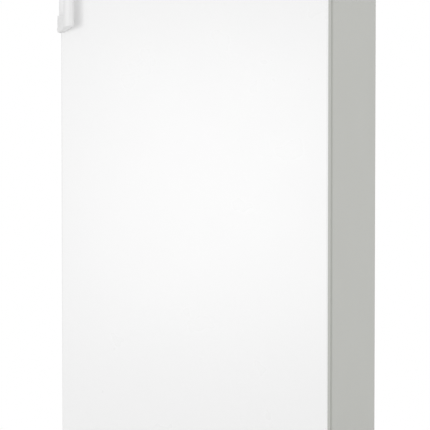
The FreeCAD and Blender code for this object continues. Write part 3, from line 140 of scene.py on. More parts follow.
soft_lamp("key_lamp", place=(-0.80, -3.80, 0.88), aim=(0, -0.3, 0.95), size=1.4, power=27)
soft_lamp("right_lamp", place=(3.7, -0.7, 1.6), aim=(0.3, 0, 0.95), size=2.0, power=23)


# ---------------------------------------- door skin
# The front of the door is one sheet of coil-coated steel, its long edges rolled to a 3 mm radius. The coat
# is a smooth white polyester with a soft gloss and a very fine orange peel.
def dress(finish, *names):
    """Gives CAD pieces their finish."""
    for name in names:
        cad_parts[name].material_slots[0].material = finish


PEEL = 0.0022           # the real peel is about half as wide, too fine to show
SHEET_WAVE = 0.30
WAVE_SHARE = 12.0       # how much deeper the sheet's waves are than the peel
COAT_HAZE = 1/9         # patches of duller gloss, about 110 mm wide
white_coat = blank("white_polyester_coat_on_steel")
spot = add_node(white_coat, "TexCoord").outputs["Object"]
peel = add_node(white_coat, "TexNoise", {"Vector": spot, "Scale": 1/PEEL, "Detail": 1.0})
wave = add_node(white_coat, "TexNoise", {"Vector": spot, "Scale": 1/SHEET_WAVE, "Detail": 0.0})
rise = add_node(white_coat, "Math", {0: wave.outputs["Fac"], 1: WAVE_SHARE, 2: peel.outputs["Fac"]},
                operation="MULTIPLY_ADD")
relief = add_node(white_coat, "Bump", {
    "Height": rise.outputs["Value"], "Strength": 0.03, "Distance": 0.0004})
haze = add_node(white_coat, "TexNoise", {"Vector": spot, "Scale": 1/COAT_HAZE, "Detail": 3.0})
rough = add_node(white_coat, "MapRange", {"Value": haze.outputs["Fac"], "To Min": 0.26, "To Max": 0.30})
shader = add_node(white_coat, "BsdfPrincipled", {
    "Base Color": linear("#F8F8F8"), "Roughness": rough.outputs["Result"],
    "Normal": relief.outputs["Normal"]})
add_node(white_coat, "OutputMaterial", {"Surface": shader.outputs["BSDF"]})
dress(white_coat, "door_skin")

# ---------------------------------------- cabinet sheets
# Sides, top and the door's side profiles are coated steel, folded at the front and back edges. Their grey is
# painted shade:
# the tone of a side turned away from the light, given to every sheet. The coat is duller than the door's and
# shows a faint cloudiness in its gloss.
SHEET_CLOUD = 1/6       # about 170 mm
shade_grey_coat = blank("grey_polyester_coat_painted_shade")
spot = add_node(shade_grey_coat, "TexCoord").outputs["Object"]
peel = add_node(shade_grey_coat, "TexNoise", {"Vector": spot, "Scale": 1/PEEL, "Detail": 2.0})
relief = add_node(shade_grey_coat, "Bump", {"Height": peel.outputs["Fac"], "Strength": 0.06, "Distance": 0.0003})
cloud = add_node(shade_grey_coat, "TexNoise", {"Vector": spot, "Scale": 1/SHEET_CLOUD, "Detail": 4.0})
rough = add_node(shade_grey_coat, "MapRange", {"Value": cloud.outputs["Fac"], "To Min": 0.40, "To Max": 0.50})
# These two greys are painted shade; the cloud only varies them a little at random.
tone = add_node(shade_grey_coat, "Mix", {0: cloud.outputs["Fac"], 6: linear("#B6B7B1"), 7: linear("#BABBB5")},
                data_type="RGBA")
shader = add_node(shade_grey_coat, "BsdfPrincipled", {
    "Base Color": tone.outputs[2], "Roughness": rough.outputs["Result"], "Normal": relief.outputs["Normal"]})
add_node(shade_grey_coat, "OutputMaterial", {"Surface": shader.outputs["BSDF"]})
dress(shade_grey_coat, "side_panel_left", "side_panel_right", "top_panel", "door_trim_left", "door_trim_right")

# ---------------------------------------- moulded grey trim
# Door end caps, control fascia and plinth are injection-moulded ABS, grey to match the sheets. Their fine
# spark-eroded grain is a third of a millimetre wide, and is drawn at twice that so that it shows.
TRIM_GRAIN = 0.0006
TRIM_CLOUD = 1/14       # about 70 mm
grey_abs = blank("grey_grained_abs")
spot = add_node(grey_abs, "TexCoord").outputs["Object"]
grain = add_node(grey_abs, "TexNoise", {"Vector": spot, "Scale": 1/TRIM_GRAIN, "Detail": 2.0})
relief = add_node(grey_abs, "Bump", {"Height": grain.outputs["Fac"], "Strength": 0.15, "Distance": 0.0003})
cloud = add_node(grey_abs, "TexNoise", {"Vector": spot, "Scale": 1/TRIM_CLOUD, "Detail": 3.0})
rough = add_node(grey_abs, "MapRange", {"Value": cloud.outputs["Fac"], "To Min": 0.48, "To Max": 0.58})
tone = add_node(grey_abs, "Mix", {0: cloud.outputs["Fac"], 6: linear("#B9BAB6"), 7: linear("#BEBFBB")},
                data_type="RGBA")
shader = add_node(grey_abs, "BsdfPrincipled", {
    "Base Color": tone.outputs[2], "Roughness": rough.outputs["Result"], "Normal": relief.outputs["Normal"]})
add_node(grey_abs, "OutputMaterial", {"Surface": shader.outputs["BSDF"]})
dress(grey_abs, "door_cap_lower", "door_cap_upper", "control_fascia", "plinth_grille")

# ---------------------------------------- zinc-coated sheet
# Back sheet, niche wall, base frame, rails, base plate and hinge brackets are bare hot-dip galvanised steel,
# whose spangle is a patchwork of crystals one to two centimetres across, each dull or bright by itself.
SPANGLE = 0.014
FROST = 1/900           # about 1.1 mm
zinc = blank("galvanised_steel")
spot = add_node(zinc, "TexCoord").outputs["Object"]
crystal = add_node(zinc, "TexVoronoi", {"Vector": spot, "Scale": 1/SPANGLE}, feature="F1")
shade = add_node(zinc, "SeparateColor", {"Color": crystal.outputs["Color"]})
tone = add_node(zinc, "Mix", {0: shade.outputs["Red"], 6: linear("#A9ACAE"), 7: linear("#C3C6C8")},
                data_type="RGBA")
rough = add_node(zinc, "MapRange", {"Value": shade.outputs["Green"], "To Min": 0.34, "To Max": 0.52})
frost = add_node(zinc, "TexNoise", {"Vector": spot, "Scale": 1/FROST, "Detail": 2.0})
relief = add_node(zinc, "Bump", {"Height": frost.outputs["Fac"], "Strength": 0.08, "Distance": 0.0003})
shader = add_node(zinc, "BsdfPrincipled", {
    "Base Color": tone.outputs[2], "Metallic": 1.0, "Roughness": rough.outputs["Result"],
    "Normal": relief.outputs["Normal"]})
add_node(zinc, "OutputMaterial", {"Surface": shader.outputs["BSDF"]})
dress(zinc, "back_panel", "niche_wall", "base_frame", "compressor_plate", "rail_lower", "rail_upper",
      "hinge_bracket_lower", "hinge_bracket_upper")

# ---------------------------------------- insulation
# Rigid polyurethane foam, blown in place between sheet and liner, which close it in on every side. It is a
# dull pale yellow with open bubbles a millimetre or two wide.
BUBBLE = 0.0018
FOAM_CLOUD = 0.040
foam = blank("polyurethane_foam")
spot = add_node(foam, "TexCoord").outputs["Object"]
bubble = add_node(foam, "TexVoronoi", {"Vector": spot, "Scale": 1/BUBBLE}, feature="SMOOTH_F1")
relief = add_node(foam, "Bump", {"Height": bubble.outputs["Distance"], "Strength": 0.4, "Distance": 0.0006})
cloud = add_node(foam, "TexNoise", {"Vector": spot, "Scale": 1/FOAM_CLOUD, "Detail": 4.0})
tone = add_node(foam, "Mix", {0: cloud.outputs["Fac"], 6: linear("#D9C68E"), 7: linear("#E8DAA9")},
                data_type="RGBA")
shader = add_node(foam, "BsdfPrincipled", {
    "Base Color": tone.outputs[2], "Roughness": 0.9, "Normal": relief.outputs["Normal"]})
add_node(foam, "OutputMaterial", {"Surface": shader.outputs["BSDF"]})
dress(foam, "cabinet_foam", "door_foam")

# ---------------------------------------- liners
# Cabinet and door liners are white high-impact polystyrene, vacuum formed, so their corners are soft and
# their gloss slightly uneven where the sheet was drawn out.
DRAWN_OUT = 0.06
liner_white = blank("white_polystyrene_liner")
spot = add_node(liner_white, "TexCoord").outputs["Object"]
draw = add_node(liner_white, "TexNoise", {"Vector": spot, "Scale": 1/DRAWN_OUT, "Detail": 2.0})
relief = add_node(liner_white, "Bump", {"Height": draw.outputs["Fac"], "Strength": 0.12, "Distance": 0.0015})
rough = add_node(liner_white, "MapRange", {"Value": draw.outputs["Fac"], "To Min": 0.26, "To Max": 0.38})
shader = add_node(liner_white, "BsdfPrincipled", {
    "Base Color": linear("#EEF0EF"), "Roughness": rough.outputs["Result"],
    "Normal": relief.outputs["Normal"]})
add_node(liner_white, "OutputMaterial", {"Surface": shader.outputs["BSDF"]})
dress(liner_white, "inner_liner", "door_liner")

# ---------------------------------------- door seal
# Soft pale grey PVC bellows with a magnetic strip inside, welded at the corners. Its surface is dull and a
# little uneven from the extruder.
SEAL_WAVE = 1/700       # about 1.4 mm
seal_pvc = blank("grey_soft_pvc")
spot = add_node(seal_pvc, "TexCoord").outputs["Object"]
lines = add_node(seal_pvc, "TexNoise", {"Vector": spot, "Scale": 1/SEAL_WAVE, "Detail": 1.0})
relief = add_node(seal_pvc, "Bump", {"Height": lines.outputs["Fac"], "Strength": 0.1, "Distance": 0.0003})
rough = add_node(seal_pvc, "MapRange", {"Value": lines.outputs["Fac"], "To Min": 0.5, "To Max": 0.62})
shader = add_node(seal_pvc, "BsdfPrincipled", {
    "Base Color": linear("#E0E1DF"), "Roughness": rough.outputs["Result"],
    "Normal": relief.outputs["Normal"]})
add_node(seal_pvc, "OutputMaterial", {"Surface": shader.outputs["BSDF"]})
dress(seal_pvc, "door_seal")

# ---------------------------------------- lever handle
# Bar, feet, base strip and pushers are moulded in white ABS with a satin surface. The bar turns on a pin in
# each foot, and its noses drive the pushers through the feet. The feet and strip sit on the door's edge.
HANDLE_GRAIN = 0.0008   # twice its real width, so that it shows
handle_abs = blank("white_satin_abs")
spot = add_node(handle_abs, "TexCoord").outputs["Object"]
grain = add_node(handle_abs, "TexNoise", {"Vector": spot, "Scale": 1/HANDLE_GRAIN, "Detail": 1.0})
relief = add_node(handle_abs, "Bump", {"Height": grain.outputs["Fac"], "Strength": 0.05, "Distance": 0.0002})
rough = add_node(handle_abs, "MapRange", {"Value": grain.outputs["Fac"], "To Min": 0.30, "To Max": 0.40})
shader = add_node(handle_abs, "BsdfPrincipled", {
    "Base Color": linear("#F0F0F0"), "Roughness": rough.outputs["Result"],
    "Normal": relief.outputs["Normal"]})
add_node(handle_abs, "OutputMaterial", {"Surface": shader.outputs["BSDF"]})
dress(handle_abs, "handle_pusher_lower", "handle_pusher_upper")

MERGE = 0.00001         # points nearer than this are one
FLAT = 1                # degrees between two facets of one flat face
BAR_EASE = 0.0006
FOOT_EASE = 0.0005


def start_fresh():
    """Leaves edit mode and lets go of everything, so that the next call acts on its own piece alone."""
    if bpy.context.object and bpy.context.object.mode == "EDIT":
        bpy.ops.object.mode_set(mode="OBJECT")
    bpy.ops.object.select_all(action="DESELECT")


def ease_edges(width, angle=30):
    """Rounds the edges of the piece that are sharper than the angle."""
    modifier = bpy.context.object.modifiers.new("rounding", "BEVEL")
    modifier.width = width
    modifier.segments = 2
    modifier.limit_method = "ANGLE"
    modifier.angle_limit = math.radians(angle)
    bpy.ops.object.modifier_apply(modifier=modifier.name)


def settle(name, finish, body, smooth=35):
    """Names a finished piece, puts its place in its mesh, and gives it finish and body."""
    if bpy.context.object.mode == "EDIT":
        bpy.ops.object.mode_set(mode="OBJECT")
    piece = bpy.context.object
    piece.name = name
    bpy.ops.object.transform_apply(location=True, rotation=True, scale=True)
    piece.data.materials.clear()
    piece.data.materials.append(finish)
    bpy.ops.object.shade_smooth_by_angle(angle=math.radians(smooth))
    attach(piece, body)
    return piece


def moulded(name, node, width, body):
    """A copy of a handle part with its sharp edges rounded, as they leave the mould, in the part's place."""
    start_fresh()
    piece = bpy.data.objects.new(name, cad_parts[node].data.copy())
    bpy.context.collection.objects.link(piece)
    piece.select_set(True)
    bpy.context.view_layer.objects.active = piece
    bpy.ops.object.mode_set(mode="EDIT")
    bpy.ops.mesh.select_all(action="SELECT")
    bpy.ops.mesh.remove_doubles(threshold=MERGE)
    bpy.ops.mesh.dissolve_limited(angle_limit=math.radians(FLAT))
    bpy.ops.object.mode_set(mode="OBJECT")
    ease_edges(width, angle=40)
    settle(name, handle_abs, body)
    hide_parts(node)


moulded("handle_bar_moulded", "handle_lever", BAR_EASE, "handle")
moulded("handle_strip_moulded", "handle_base_strip", FOOT_EASE, "door")
moulded("handle_foot_lower_moulded", "handle_foot_lower", FOOT_EASE, "door")
moulded("handle_foot_upper_moulded", "handle_foot_upper", FOOT_EASE, "door")

# ---------------------------------------- display
# Smoked acrylic window clipped into the fascia, so dark that only the lit bars of the display behind it can
# be made out. They are laid on its face here.
WINDOW_HAZE = 1/60      # about 17 mm
smoked = blank("smoked_acrylic")
spot = add_node(smoked, "TexCoord").outputs["Object"]
haze = add_node(smoked, "TexNoise", {"Vector": spot, "Scale": 1/WINDOW_HAZE, "Detail": 3.0})
rough = add_node(smoked, "MapRange", {"Value": haze.outputs["Fac"], "To Min": 0.04, "To Max": 0.10})
tone = add_node(smoked, "Mix", {0: haze.outputs["Fac"], 6: linear("#15161A"), 7: linear("#1B1C21")},
                data_type="RGBA")
shader = add_node(smoked, "BsdfPrincipled", {
    "Base Color": tone.outputs[2], "Roughness": rough.outputs["Result"], "Coat Weight": 0.6})
add_node(smoked, "OutputMaterial", {"Surface": shader.outputs["BSDF"]})
dress(smoked, "display_window")

# A lit bar is an even red, a little brighter here and there.
BAR_CELL = 0.0025
lit = blank("lit_display_segment")
spot = add_node(lit, "TexCoord").outputs["Object"]
cell = add_node(lit, "TexNoise", {"Vector": spot, "Scale": 1/BAR_CELL, "Detail": 1.0})
tone = add_node(lit, "Mix", {0: cell.outputs["Fac"], 6: linear("#E8402C"), 7: linear("#FF6A4A")},
                data_type="RGBA")
shader = add_node(lit, "BsdfPrincipled", {
    "Base Color": tone.outputs[2], "Roughness": 0.4, "Emission Color": tone.outputs[2],
    "Emission Strength": 0.8})
add_node(lit, "OutputMaterial", {"Surface": shader.outputs["BSDF"]})


def pick(kind, test):
    """In edit mode, selects the verts, edges or faces that meet the test, and nothing else."""
    bpy.ops.mesh.select_mode(type={"verts": "VERT", "edges": "EDGE", "faces": "FACE"}[kind])
    bpy.ops.mesh.select_all(action="DESELECT")
    shape = bmesh.from_edit_mesh(bpy.context.object.data)
    for part in getattr(shape, kind):
        part.select_set(test(part))
    shape.select_flush_mode()
    bmesh.update_edit_mesh(bpy.context.object.data)


def another(pattern):
    """A copy of a pattern with a mesh of its own, selected and ready to be placed."""
    start_fresh()
    one = pattern.copy()
    one.data = pattern.data.copy()
    bpy.context.collection.objects.link(one)
    one.select_set(True)
    bpy.context.view_layer.objects.active = one
    return one


SEGMENT_LENGTH = 0.0056
SEGMENT_WIDTH = 0.0012
SEGMENT_DEEP = 0.0001
SEGMENT_SLANT = 0.10
SEGMENT_REACH = SEGMENT_LENGTH*1.1
DIGIT_STEP = 0.0108
DISPLAY_X = -0.020
CONTROL_HEIGHT = 1.604
WINDOW_FACE = -0.3094
start_fresh()
bpy.ops.mesh.primitive_circle_add(vertices=6, radius=0.5, fill_type="NGON", rotation=(math.pi/2, 0, 0),
                                  location=(DISPLAY_X, WINDOW_FACE, CONTROL_HEIGHT))
bpy.ops.object.mode_set(mode="EDIT")
pick("faces", lambda f: True)
bpy.ops.mesh.extrude_region_move(TRANSFORM_OT_translate={"value": (0, -SEGMENT_DEEP, 0)})
bpy.ops.mesh.select_all(action="SELECT")
bpy.ops.mesh.normals_make_consistent(inside=False)
bpy.ops.object.mode_set(mode="OBJECT")
bar_pattern = bpy.context.object
# A digit's seven bars from the top round clockwise, with the middle one last: across, up, and if it stands.
BARS = [(0, 1, 0), (0.5, 0.5, 1), (0.5, -0.5, 1), (0, -1, 0), (-0.5, -0.5, 1), (-0.5, 0.5, 1), (0, 0, 0)]
READING = ["0000001", "0110000", "1111111"]     # minus 18, as the bars that are lit in each digit
for place, lit_bars in enumerate(READING):
    for bar_number, (across, up, stands) in enumerate(BARS):
        if lit_bars[bar_number] == "0":
            continue
        one = another(bar_pattern)
        one.scale = (SEGMENT_WIDTH, SEGMENT_LENGTH, 1) if stands else (SEGMENT_LENGTH, SEGMENT_WIDTH, 1)
        one.location = (DISPLAY_X + (place - 1)*DIGIT_STEP + (across + SEGMENT_SLANT*up)*SEGMENT_REACH,
                        WINDOW_FACE, CONTROL_HEIGHT + up*SEGMENT_REACH)
        settle(f"display_digit_{place + 1}_bar_{bar_number + 1}", lit, "cabinet")
bpy.data.objects.remove(bar_pattern)

# ---------------------------------------- black controls
# Knob, rocker, keys, feet, rollers, spacers, inlet and terminal cover are black moulded plastic, most of it
# nylon or ABS. Their matt grain is a quarter of a millimetre wide, and is drawn at twice that so it shows.
NYLON_GRAIN = 0.0005
NYLON_CLOUD = 0.025
black_nylon = blank("black_grained_nylon")
spot = add_node(black_nylon, "TexCoord").outputs["Object"]
grain = add_node(black_nylon, "TexNoise", {"Vector": spot, "Scale": 1/NYLON_GRAIN, "Detail": 2.0})
relief = add_node(black_nylon, "Bump", {"Height": grain.outputs["Fac"], "Strength": 0.2, "Distance": 0.0002})
cloud = add_node(black_nylon, "TexNoise", {"Vector": spot, "Scale": 1/NYLON_CLOUD, "Detail": 3.0})
rough = add_node(black_nylon, "MapRange", {"Value": cloud.outputs["Fac"], "To Min": 0.42, "To Max": 0.58})
tone = add_node(black_nylon, "Mix", {0: cloud.outputs["Fac"], 6: linear("#232425"), 7: linear("#2D2E2F")},
                data_type="RGBA")
shader = add_node(black_nylon, "BsdfPrincipled", {
    "Base Color": tone.outputs[2], "Roughness": rough.outputs["Result"], "Normal": relief.outputs["Normal"]})
add_node(black_nylon, "OutputMaterial", {"Surface": shader.outputs["BSDF"]})
dress(black_nylon, "power_rocker", "fast_freeze_button", "alarm_button", "terminal_cover", "mains_inlet",
      "wall_spacer_left", "wall_spacer_right")


def turn(place, profile, sides):
    """A turning on an upright axis: a filled ring, raised and scaled step by step, (radius, height) each."""
    start_fresh()
    radius, low = profile[0]
    bpy.ops.mesh.primitive_circle_add(vertices=sides, radius=radius, fill_type="NGON",
                                      location=(place[0], place[1], place[2] + low))
    bpy.ops.object.mode_set(mode="EDIT")
    bpy.ops.mesh.select_all(action="SELECT")
    for wide, high in profile[1:]:
        bpy.ops.mesh.extrude_region_move(TRANSFORM_OT_translate={"value": (0, 0, high - low)})
        bpy.ops.transform.resize(value=(wide/radius, wide/radius, 1),
                                 center_override=(place[0], place[1], place[2] + high))
        radius, low = wide, high
    bpy.ops.mesh.select_all(action="SELECT")
    bpy.ops.mesh.normals_make_consistent(inside=False)
    bpy.ops.object.mode_set(mode="OBJECT")
    bpy.context.scene.cursor.location = place
    bpy.ops.object.origin_set(type="ORIGIN_CURSOR")
    return bpy.context.object


def face_front():
    """Tips an upright turning over so that its top looks to the front, about the place it was turned at."""
    bpy.context.object.rotation_euler = (math.pi/2, 0, 0)


def side_number(face, sides):
    """Which side of a turning a face is on, counted round its axis."""
    middle = face.calc_center_median()
    return int(round((math.atan2(middle.y, middle.x)/math.tau + 1)*sides - 0.5))


# ---------------------------------------- thermostat knob
# Moulded knob with a fluted grip on a short shaft. The white pointer is inlaid. It stands upright at the
# low end, and the printed scale runs clockwise from there through the knob's whole turn.
KNOB_X = 0.120
KNOB_BACK = -0.3105
KNOB_DEEP = 0.015
KNOB_RADIUS = 0.016
FLUTES = 24
FLUTE_EDGE = 0.0002
FLUTE_DEEP = 0.0006
GRIP_LOW = 0.005
GRIP_HIGH = KNOB_DEEP - 0.002
# The shaft, the skirt, the tapering grip, and a front with a shallow dish in it.
turn((KNOB_X, KNOB_BACK, CONTROL_HEIGHT), [
    (0.0034, -0.0115), (0.0034, 0.0), (KNOB_RADIUS, 0.0), (KNOB_RADIUS, 0.003), (0.0135, 0.0042),
    (0.0127, KNOB_DEEP - 0.0015), (0.0112, KNOB_DEEP), (0.0095, KNOB_DEEP), (0.0090, KNOB_DEEP - 0.0004)],
    2*FLUTES)
bpy.ops.object.mode_set(mode="EDIT")


def on_grip(face):
    """Every second side face of the grip."""
    if not (GRIP_LOW < face.calc_center_median().z < GRIP_HIGH) or abs(face.normal.z) > 0.5:
        return False
    return side_number(face, 2*FLUTES) % 2 == 0


pick("faces", on_grip)
bpy.ops.mesh.inset(thickness=FLUTE_EDGE, use_individual=True)
bpy.ops.transform.shrink_fatten(value=-FLUTE_DEEP)
bpy.ops.object.mode_set(mode="OBJECT")
face_front()
ease_edges(FLUTE_EDGE)
knob = settle("thermostat_knob_fluted", black_nylon, "knob")
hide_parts("thermostat_knob")

# Screen print is a matt ink with a fine grit, white on the black controls and dark grey on the fascia.
PRINT_GRIT = 1/1500     # about 0.7 mm
prints = []
for name, darker, lighter in (("white_screen_print", "#E6E6E4", "#F4F4F2"),
                              ("dark_grey_screen_print", "#3A3C3E", "#46484A")):
    ink = blank(name)
    spot = add_node(ink, "TexCoord").outputs["Object"]
    grit = add_node(ink, "TexNoise", {"Vector": spot, "Scale": 1/PRINT_GRIT, "Detail": 1.0})
    rough = add_node(ink, "MapRange", {"Value": grit.outputs["Fac"], "To Min": 0.5, "To Max": 0.7})
    tone = add_node(ink, "Mix", {0: grit.outputs["Fac"], 6: linear(darker), 7: linear(lighter)},
                    data_type="RGBA")
    shader = add_node(ink, "BsdfPrincipled", {
        "Base Color": tone.outputs[2], "Roughness": rough.outputs["Result"]})
    add_node(ink, "OutputMaterial", {"Surface": shader.outputs["BSDF"]})
    prints.append(ink)
printed_white, printed_dark = prints


def block(place, size, turned=0.0):
    """A plain block to shape further, turned about its middle as seen from the front."""
    start_fresh()
    bpy.ops.mesh.primitive_cube_add(size=1, location=place, rotation=(0, turned, 0))
    bpy.context.object.scale = size
    bpy.ops.object.transform_apply(location=False, rotation=False, scale=True)
    return bpy.context.object


def tile(name, place, size, finish, body, turned=0.0):
    """A thin bar with bevelled edges, facing the front, turned about its middle."""
    block(place, size, turned)
    ease_edges(min(size)*0.3)
    settle(name, finish, body)


INK_DEEP = 0.00004


def words(name, text, tall, place, finish, body, lean=0.0):
    """Flat printed sign on a face that looks to the front and leans back by an angle."""
    start_fresh()
    bpy.ops.object.text_add(location=place, rotation=(math.pi/2 - lean, 0, 0))
    label = bpy.context.object
    label.data.body = text
    label.data.size = tall
    label.data.align_x = "CENTER"
    label.data.align_y = "CENTER"
    label.data.extrude = INK_DEEP
    bpy.ops.object.convert(target="MESH")
    settle(name, finish, body)


POINTER_SIZE = (0.0014, 0.0004, 0.0048)
POINTER_SUNK = 0.0003
POINTER_UP = 0.0070
tile("knob_pointer", (KNOB_X, KNOB_BACK - KNOB_DEEP + POINTER_SUNK, CONTROL_HEIGHT + POINTER_UP),
     POINTER_SIZE, printed_white, "knob")

SCALE_STEPS = 7
SCALE_SWEEP = 270
SCALE_RADIUS = 0.0185
NUMBER_RADIUS = 0.0232
NUMBER_TALL = 0.0042
TICK_SIZE = (0.0006, 0.00012, 0.0022)
FASCIA_FACE = -0.310


def on_scale(turned, radius):
    """Place on the fascia at an angle clockwise from above the knob."""
    return (KNOB_X + radius*math.sin(turned), FASCIA_FACE, CONTROL_HEIGHT + radius*math.cos(turned))


for number in range(SCALE_STEPS):
    turned = math.radians(number*SCALE_SWEEP/(SCALE_STEPS - 1))
    tile(f"scale_tick_{number + 1}", on_scale(turned, SCALE_RADIUS), TICK_SIZE, printed_dark, "cabinet",
         turned)
    # The fascia slopes away above tick one and ends below tick five, so the even ones are numbered.
    if number % 2 == 1:
        words(f"scale_number_{number + 1}", str(number + 1), NUMBER_TALL, on_scale(turned, NUMBER_RADIUS),
              printed_dark, "cabinet")

# ---------------------------------------- signs on the controls
# The rocker is marked I and O, printed on its two leaning halves. Each key has a small signal lamp beside
# it, green for fast freezing and amber for the alarm, whose faceted lens glows a little.
ROCKER_X = -0.215
# Name, sign, how tall, its face and its height on the rocker, and how far that half leans back.
ROCKER_SIGNS = [("rocker_mark_on", "I", 0.0052, -0.31100, -0.0032, math.atan2(0.6, 5.6)),
                ("rocker_mark_off", "O", 0.0046, -0.31002, 0.0030, math.atan2(1.2, 5.6))]
for name, sign, tall, face, up, lean in ROCKER_SIGNS:
    words(name, sign, tall, (ROCKER_X, face, CONTROL_HEIGHT + up), printed_white, "rocker",
          lean)
LENS_FACET = 0.0006
LENS = [(0.0016, -0.0010), (0.0016, 0.0002), (0.0013, 0.0008), (0.0007, 0.0011)]
SIGNALS = [("fast_freeze", -0.1425, ("#3FBF5A", "#63D67A")), ("alarm", -0.1075, ("#E6A020", "#F5B840"))]
for name, x, (darker, lighter) in SIGNALS:
    lens = blank(name + "_lamp_lens")
    spot = add_node(lens, "TexCoord").outputs["Object"]
    facet = add_node(lens, "TexVoronoi", {"Vector": spot, "Scale": 1/LENS_FACET}, feature="F1")
    tone = add_node(lens, "Mix", {0: facet.outputs["Distance"], 6: linear(darker), 7: linear(lighter)},
                    data_type="RGBA")
    shader = add_node(lens, "BsdfPrincipled", {
        "Base Color": tone.outputs[2], "Roughness": 0.15, "Emission Color": tone.outputs[2],
        "Emission Strength": 0.25})
    add_node(lens, "OutputMaterial", {"Surface": shader.outputs["BSDF"]})
    turn((x, FASCIA_FACE, CONTROL_HEIGHT), LENS, 24)
    face_front()
    settle(name + "_lamp", lens, "cabinet")

# ---------------------------------------- hinge bushes and pins
# Bushes are natural acetal pressed into the door's end caps, milky and slightly translucent. The handle's
# pins are drawn steel, bright, with fine scratches along them.
ACETAL_CLOUD = 1/120    # about 8 mm
acetal = blank("natural_acetal")
spot = add_node(acetal, "TexCoord").outputs["Object"]
cloud = add_node(acetal, "TexNoise", {"Vector": spot, "Scale": 1/ACETAL_CLOUD, "Detail": 2.0})
tone = add_node(acetal, "Mix", {0: cloud.outputs["Fac"], 6: linear("#E9E7DD"), 7: linear("#F1EFE6")},
                data_type="RGBA")
rough = add_node(acetal, "MapRange", {"Value": cloud.outputs["Fac"], "To Min": 0.28, "To Max": 0.4})
shader = add_node(acetal, "BsdfPrincipled", {
    "Base Color": tone.outputs[2], "Roughness": rough.outputs["Result"], "Subsurface Weight": 0.1})
add_node(acetal, "OutputMaterial", {"Surface": shader.outputs["BSDF"]})
dress(acetal, "hinge_bush_lower", "hinge_bush_upper")

SCRATCH_WIDTH = 0.0004
SCRATCH_LENGTH = 1/60   # about 17 mm
drawn_steel = blank("drawn_steel")
spot = add_node(drawn_steel, "TexCoord").outputs["Object"]
drawn = add_node(drawn_steel, "Mapping", {
    "Vector": spot, "Scale": (1/SCRATCH_WIDTH, 1/SCRATCH_WIDTH, 1/SCRATCH_LENGTH)})
scratch = add_node(drawn_steel, "TexNoise", {"Vector": drawn.outputs["Vector"], "Scale": 1.0, "Detail": 2.0})
rough = add_node(drawn_steel, "MapRange", {"Value": scratch.outputs["Fac"], "To Min": 0.18, "To Max": 0.34})
relief = add_node(drawn_steel, "Bump", {
    "Height": scratch.outputs["Fac"], "Strength": 0.1, "Distance": 0.0001})
shader = add_node(drawn_steel, "BsdfPrincipled", {
    "Base Color": linear("#C9CACC"), "Metallic": 1.0, "Roughness": rough.outputs["Result"],
    "Normal": relief.outputs["Normal"]})
add_node(drawn_steel, "OutputMaterial", {"Surface": shader.outputs["BSDF"]})
dress(drawn_steel, "handle_pin_lower", "handle_pin_upper")

# ---------------------------------------- evaporator shelves
# Each shelf is steel pipe bent to a serpentine with round wires welded across it, dip-coated in white
# polyethylene that flows a little before it sets.
COAT_FLOW = 1/220       # about 4.5 mm
dip_coat = blank("white_polyethylene_dip_coat")
spot = add_node(dip_coat, "TexCoord").outputs["Object"]
flow = add_node(dip_coat, "TexNoise", {"Vector": spot, "Scale": 1/COAT_FLOW, "Detail": 2.0})
relief = add_node(dip_coat, "Bump", {"Height": flow.outputs["Fac"], "Strength": 0.25, "Distance": 0.0004})
rough = add_node(dip_coat, "MapRange", {"Value": flow.outputs["Fac"], "To Min": 0.30, "To Max": 0.45})
tone = add_node(dip_coat, "Mix", {0: flow.outputs["Fac"], 6: linear("#E4E7E7"), 7: linear("#EFF1F1")},
                data_type="RGBA")
shader = add_node(dip_coat, "BsdfPrincipled", {
    "Base Color": tone.outputs[2], "Roughness": rough.outputs["Result"], "Normal": relief.outputs["Normal"]})
add_node(dip_coat, "OutputMaterial", {"Surface": shader.outputs["BSDF"]})
dress(dip_coat, "evaporator_riser")


def run_pipe(points, radius, bend, sides, steps):
    """A round pipe through the points: a ring drawn along each run and spun round each corner. The operator
    turns a positive angle left-handed about its axis, so the angle is negative."""
    points = [Vector(p) for p in points]
    start_fresh()
    along = (points[1] - points[0]).normalized()
    bpy.ops.mesh.primitive_circle_add(vertices=sides, radius=radius, fill_type="NGON", location=points[0],
                                      rotation=along.to_track_quat("Z", "Y").to_euler())
    bpy.ops.object.transform_apply(location=True, rotation=True, scale=True)
    bpy.ops.object.mode_set(mode="EDIT")
    bpy.ops.mesh.select_all(action="SELECT")
    here = points[0]
    for number in range(1, len(points)):
        arrive = (points[number] - points[number - 1]).normalized()
        corner = number < len(points) - 1
        back = 0.0
        if corner:
            leave = (points[number + 1] - points[number]).normalized()
            turn_by = arrive.angle(leave)
            back = bend*math.tan(turn_by/2)
        stop = points[number] - arrive*back
        if (stop - here).length > 1e-6:
            bpy.ops.mesh.extrude_region_move(TRANSFORM_OT_translate={"value": stop - here})
        here = stop
        if corner:
            axis = arrive.cross(leave).normalized()
            inward = axis.cross(arrive).normalized()
            bpy.ops.mesh.spin(steps=steps, angle=-turn_by, center=stop + inward*bend, axis=axis)
            here = points[number] + leave*back
    bpy.ops.mesh.select_all(action="SELECT")
    bpy.ops.mesh.remove_doubles(threshold=MERGE)
    bpy.ops.mesh.normals_make_consistent(inside=False)
    bpy.ops.object.mode_set(mode="OBJECT")
    return bpy.context.object


def to_and_fro(passes, half, pitch, place):
    """Corners of a serpentine; place maps (across, along) to space."""
    corners = []
    for k in range(passes):
        out = 1 if k % 2 == 0 else -1
        first = half if k > 0 else half - pitch/2
        last = half if k < passes - 1 else half - pitch/2
        corners += [place(-out*first, k*pitch), place(out*last, k*pitch)]
    return corners


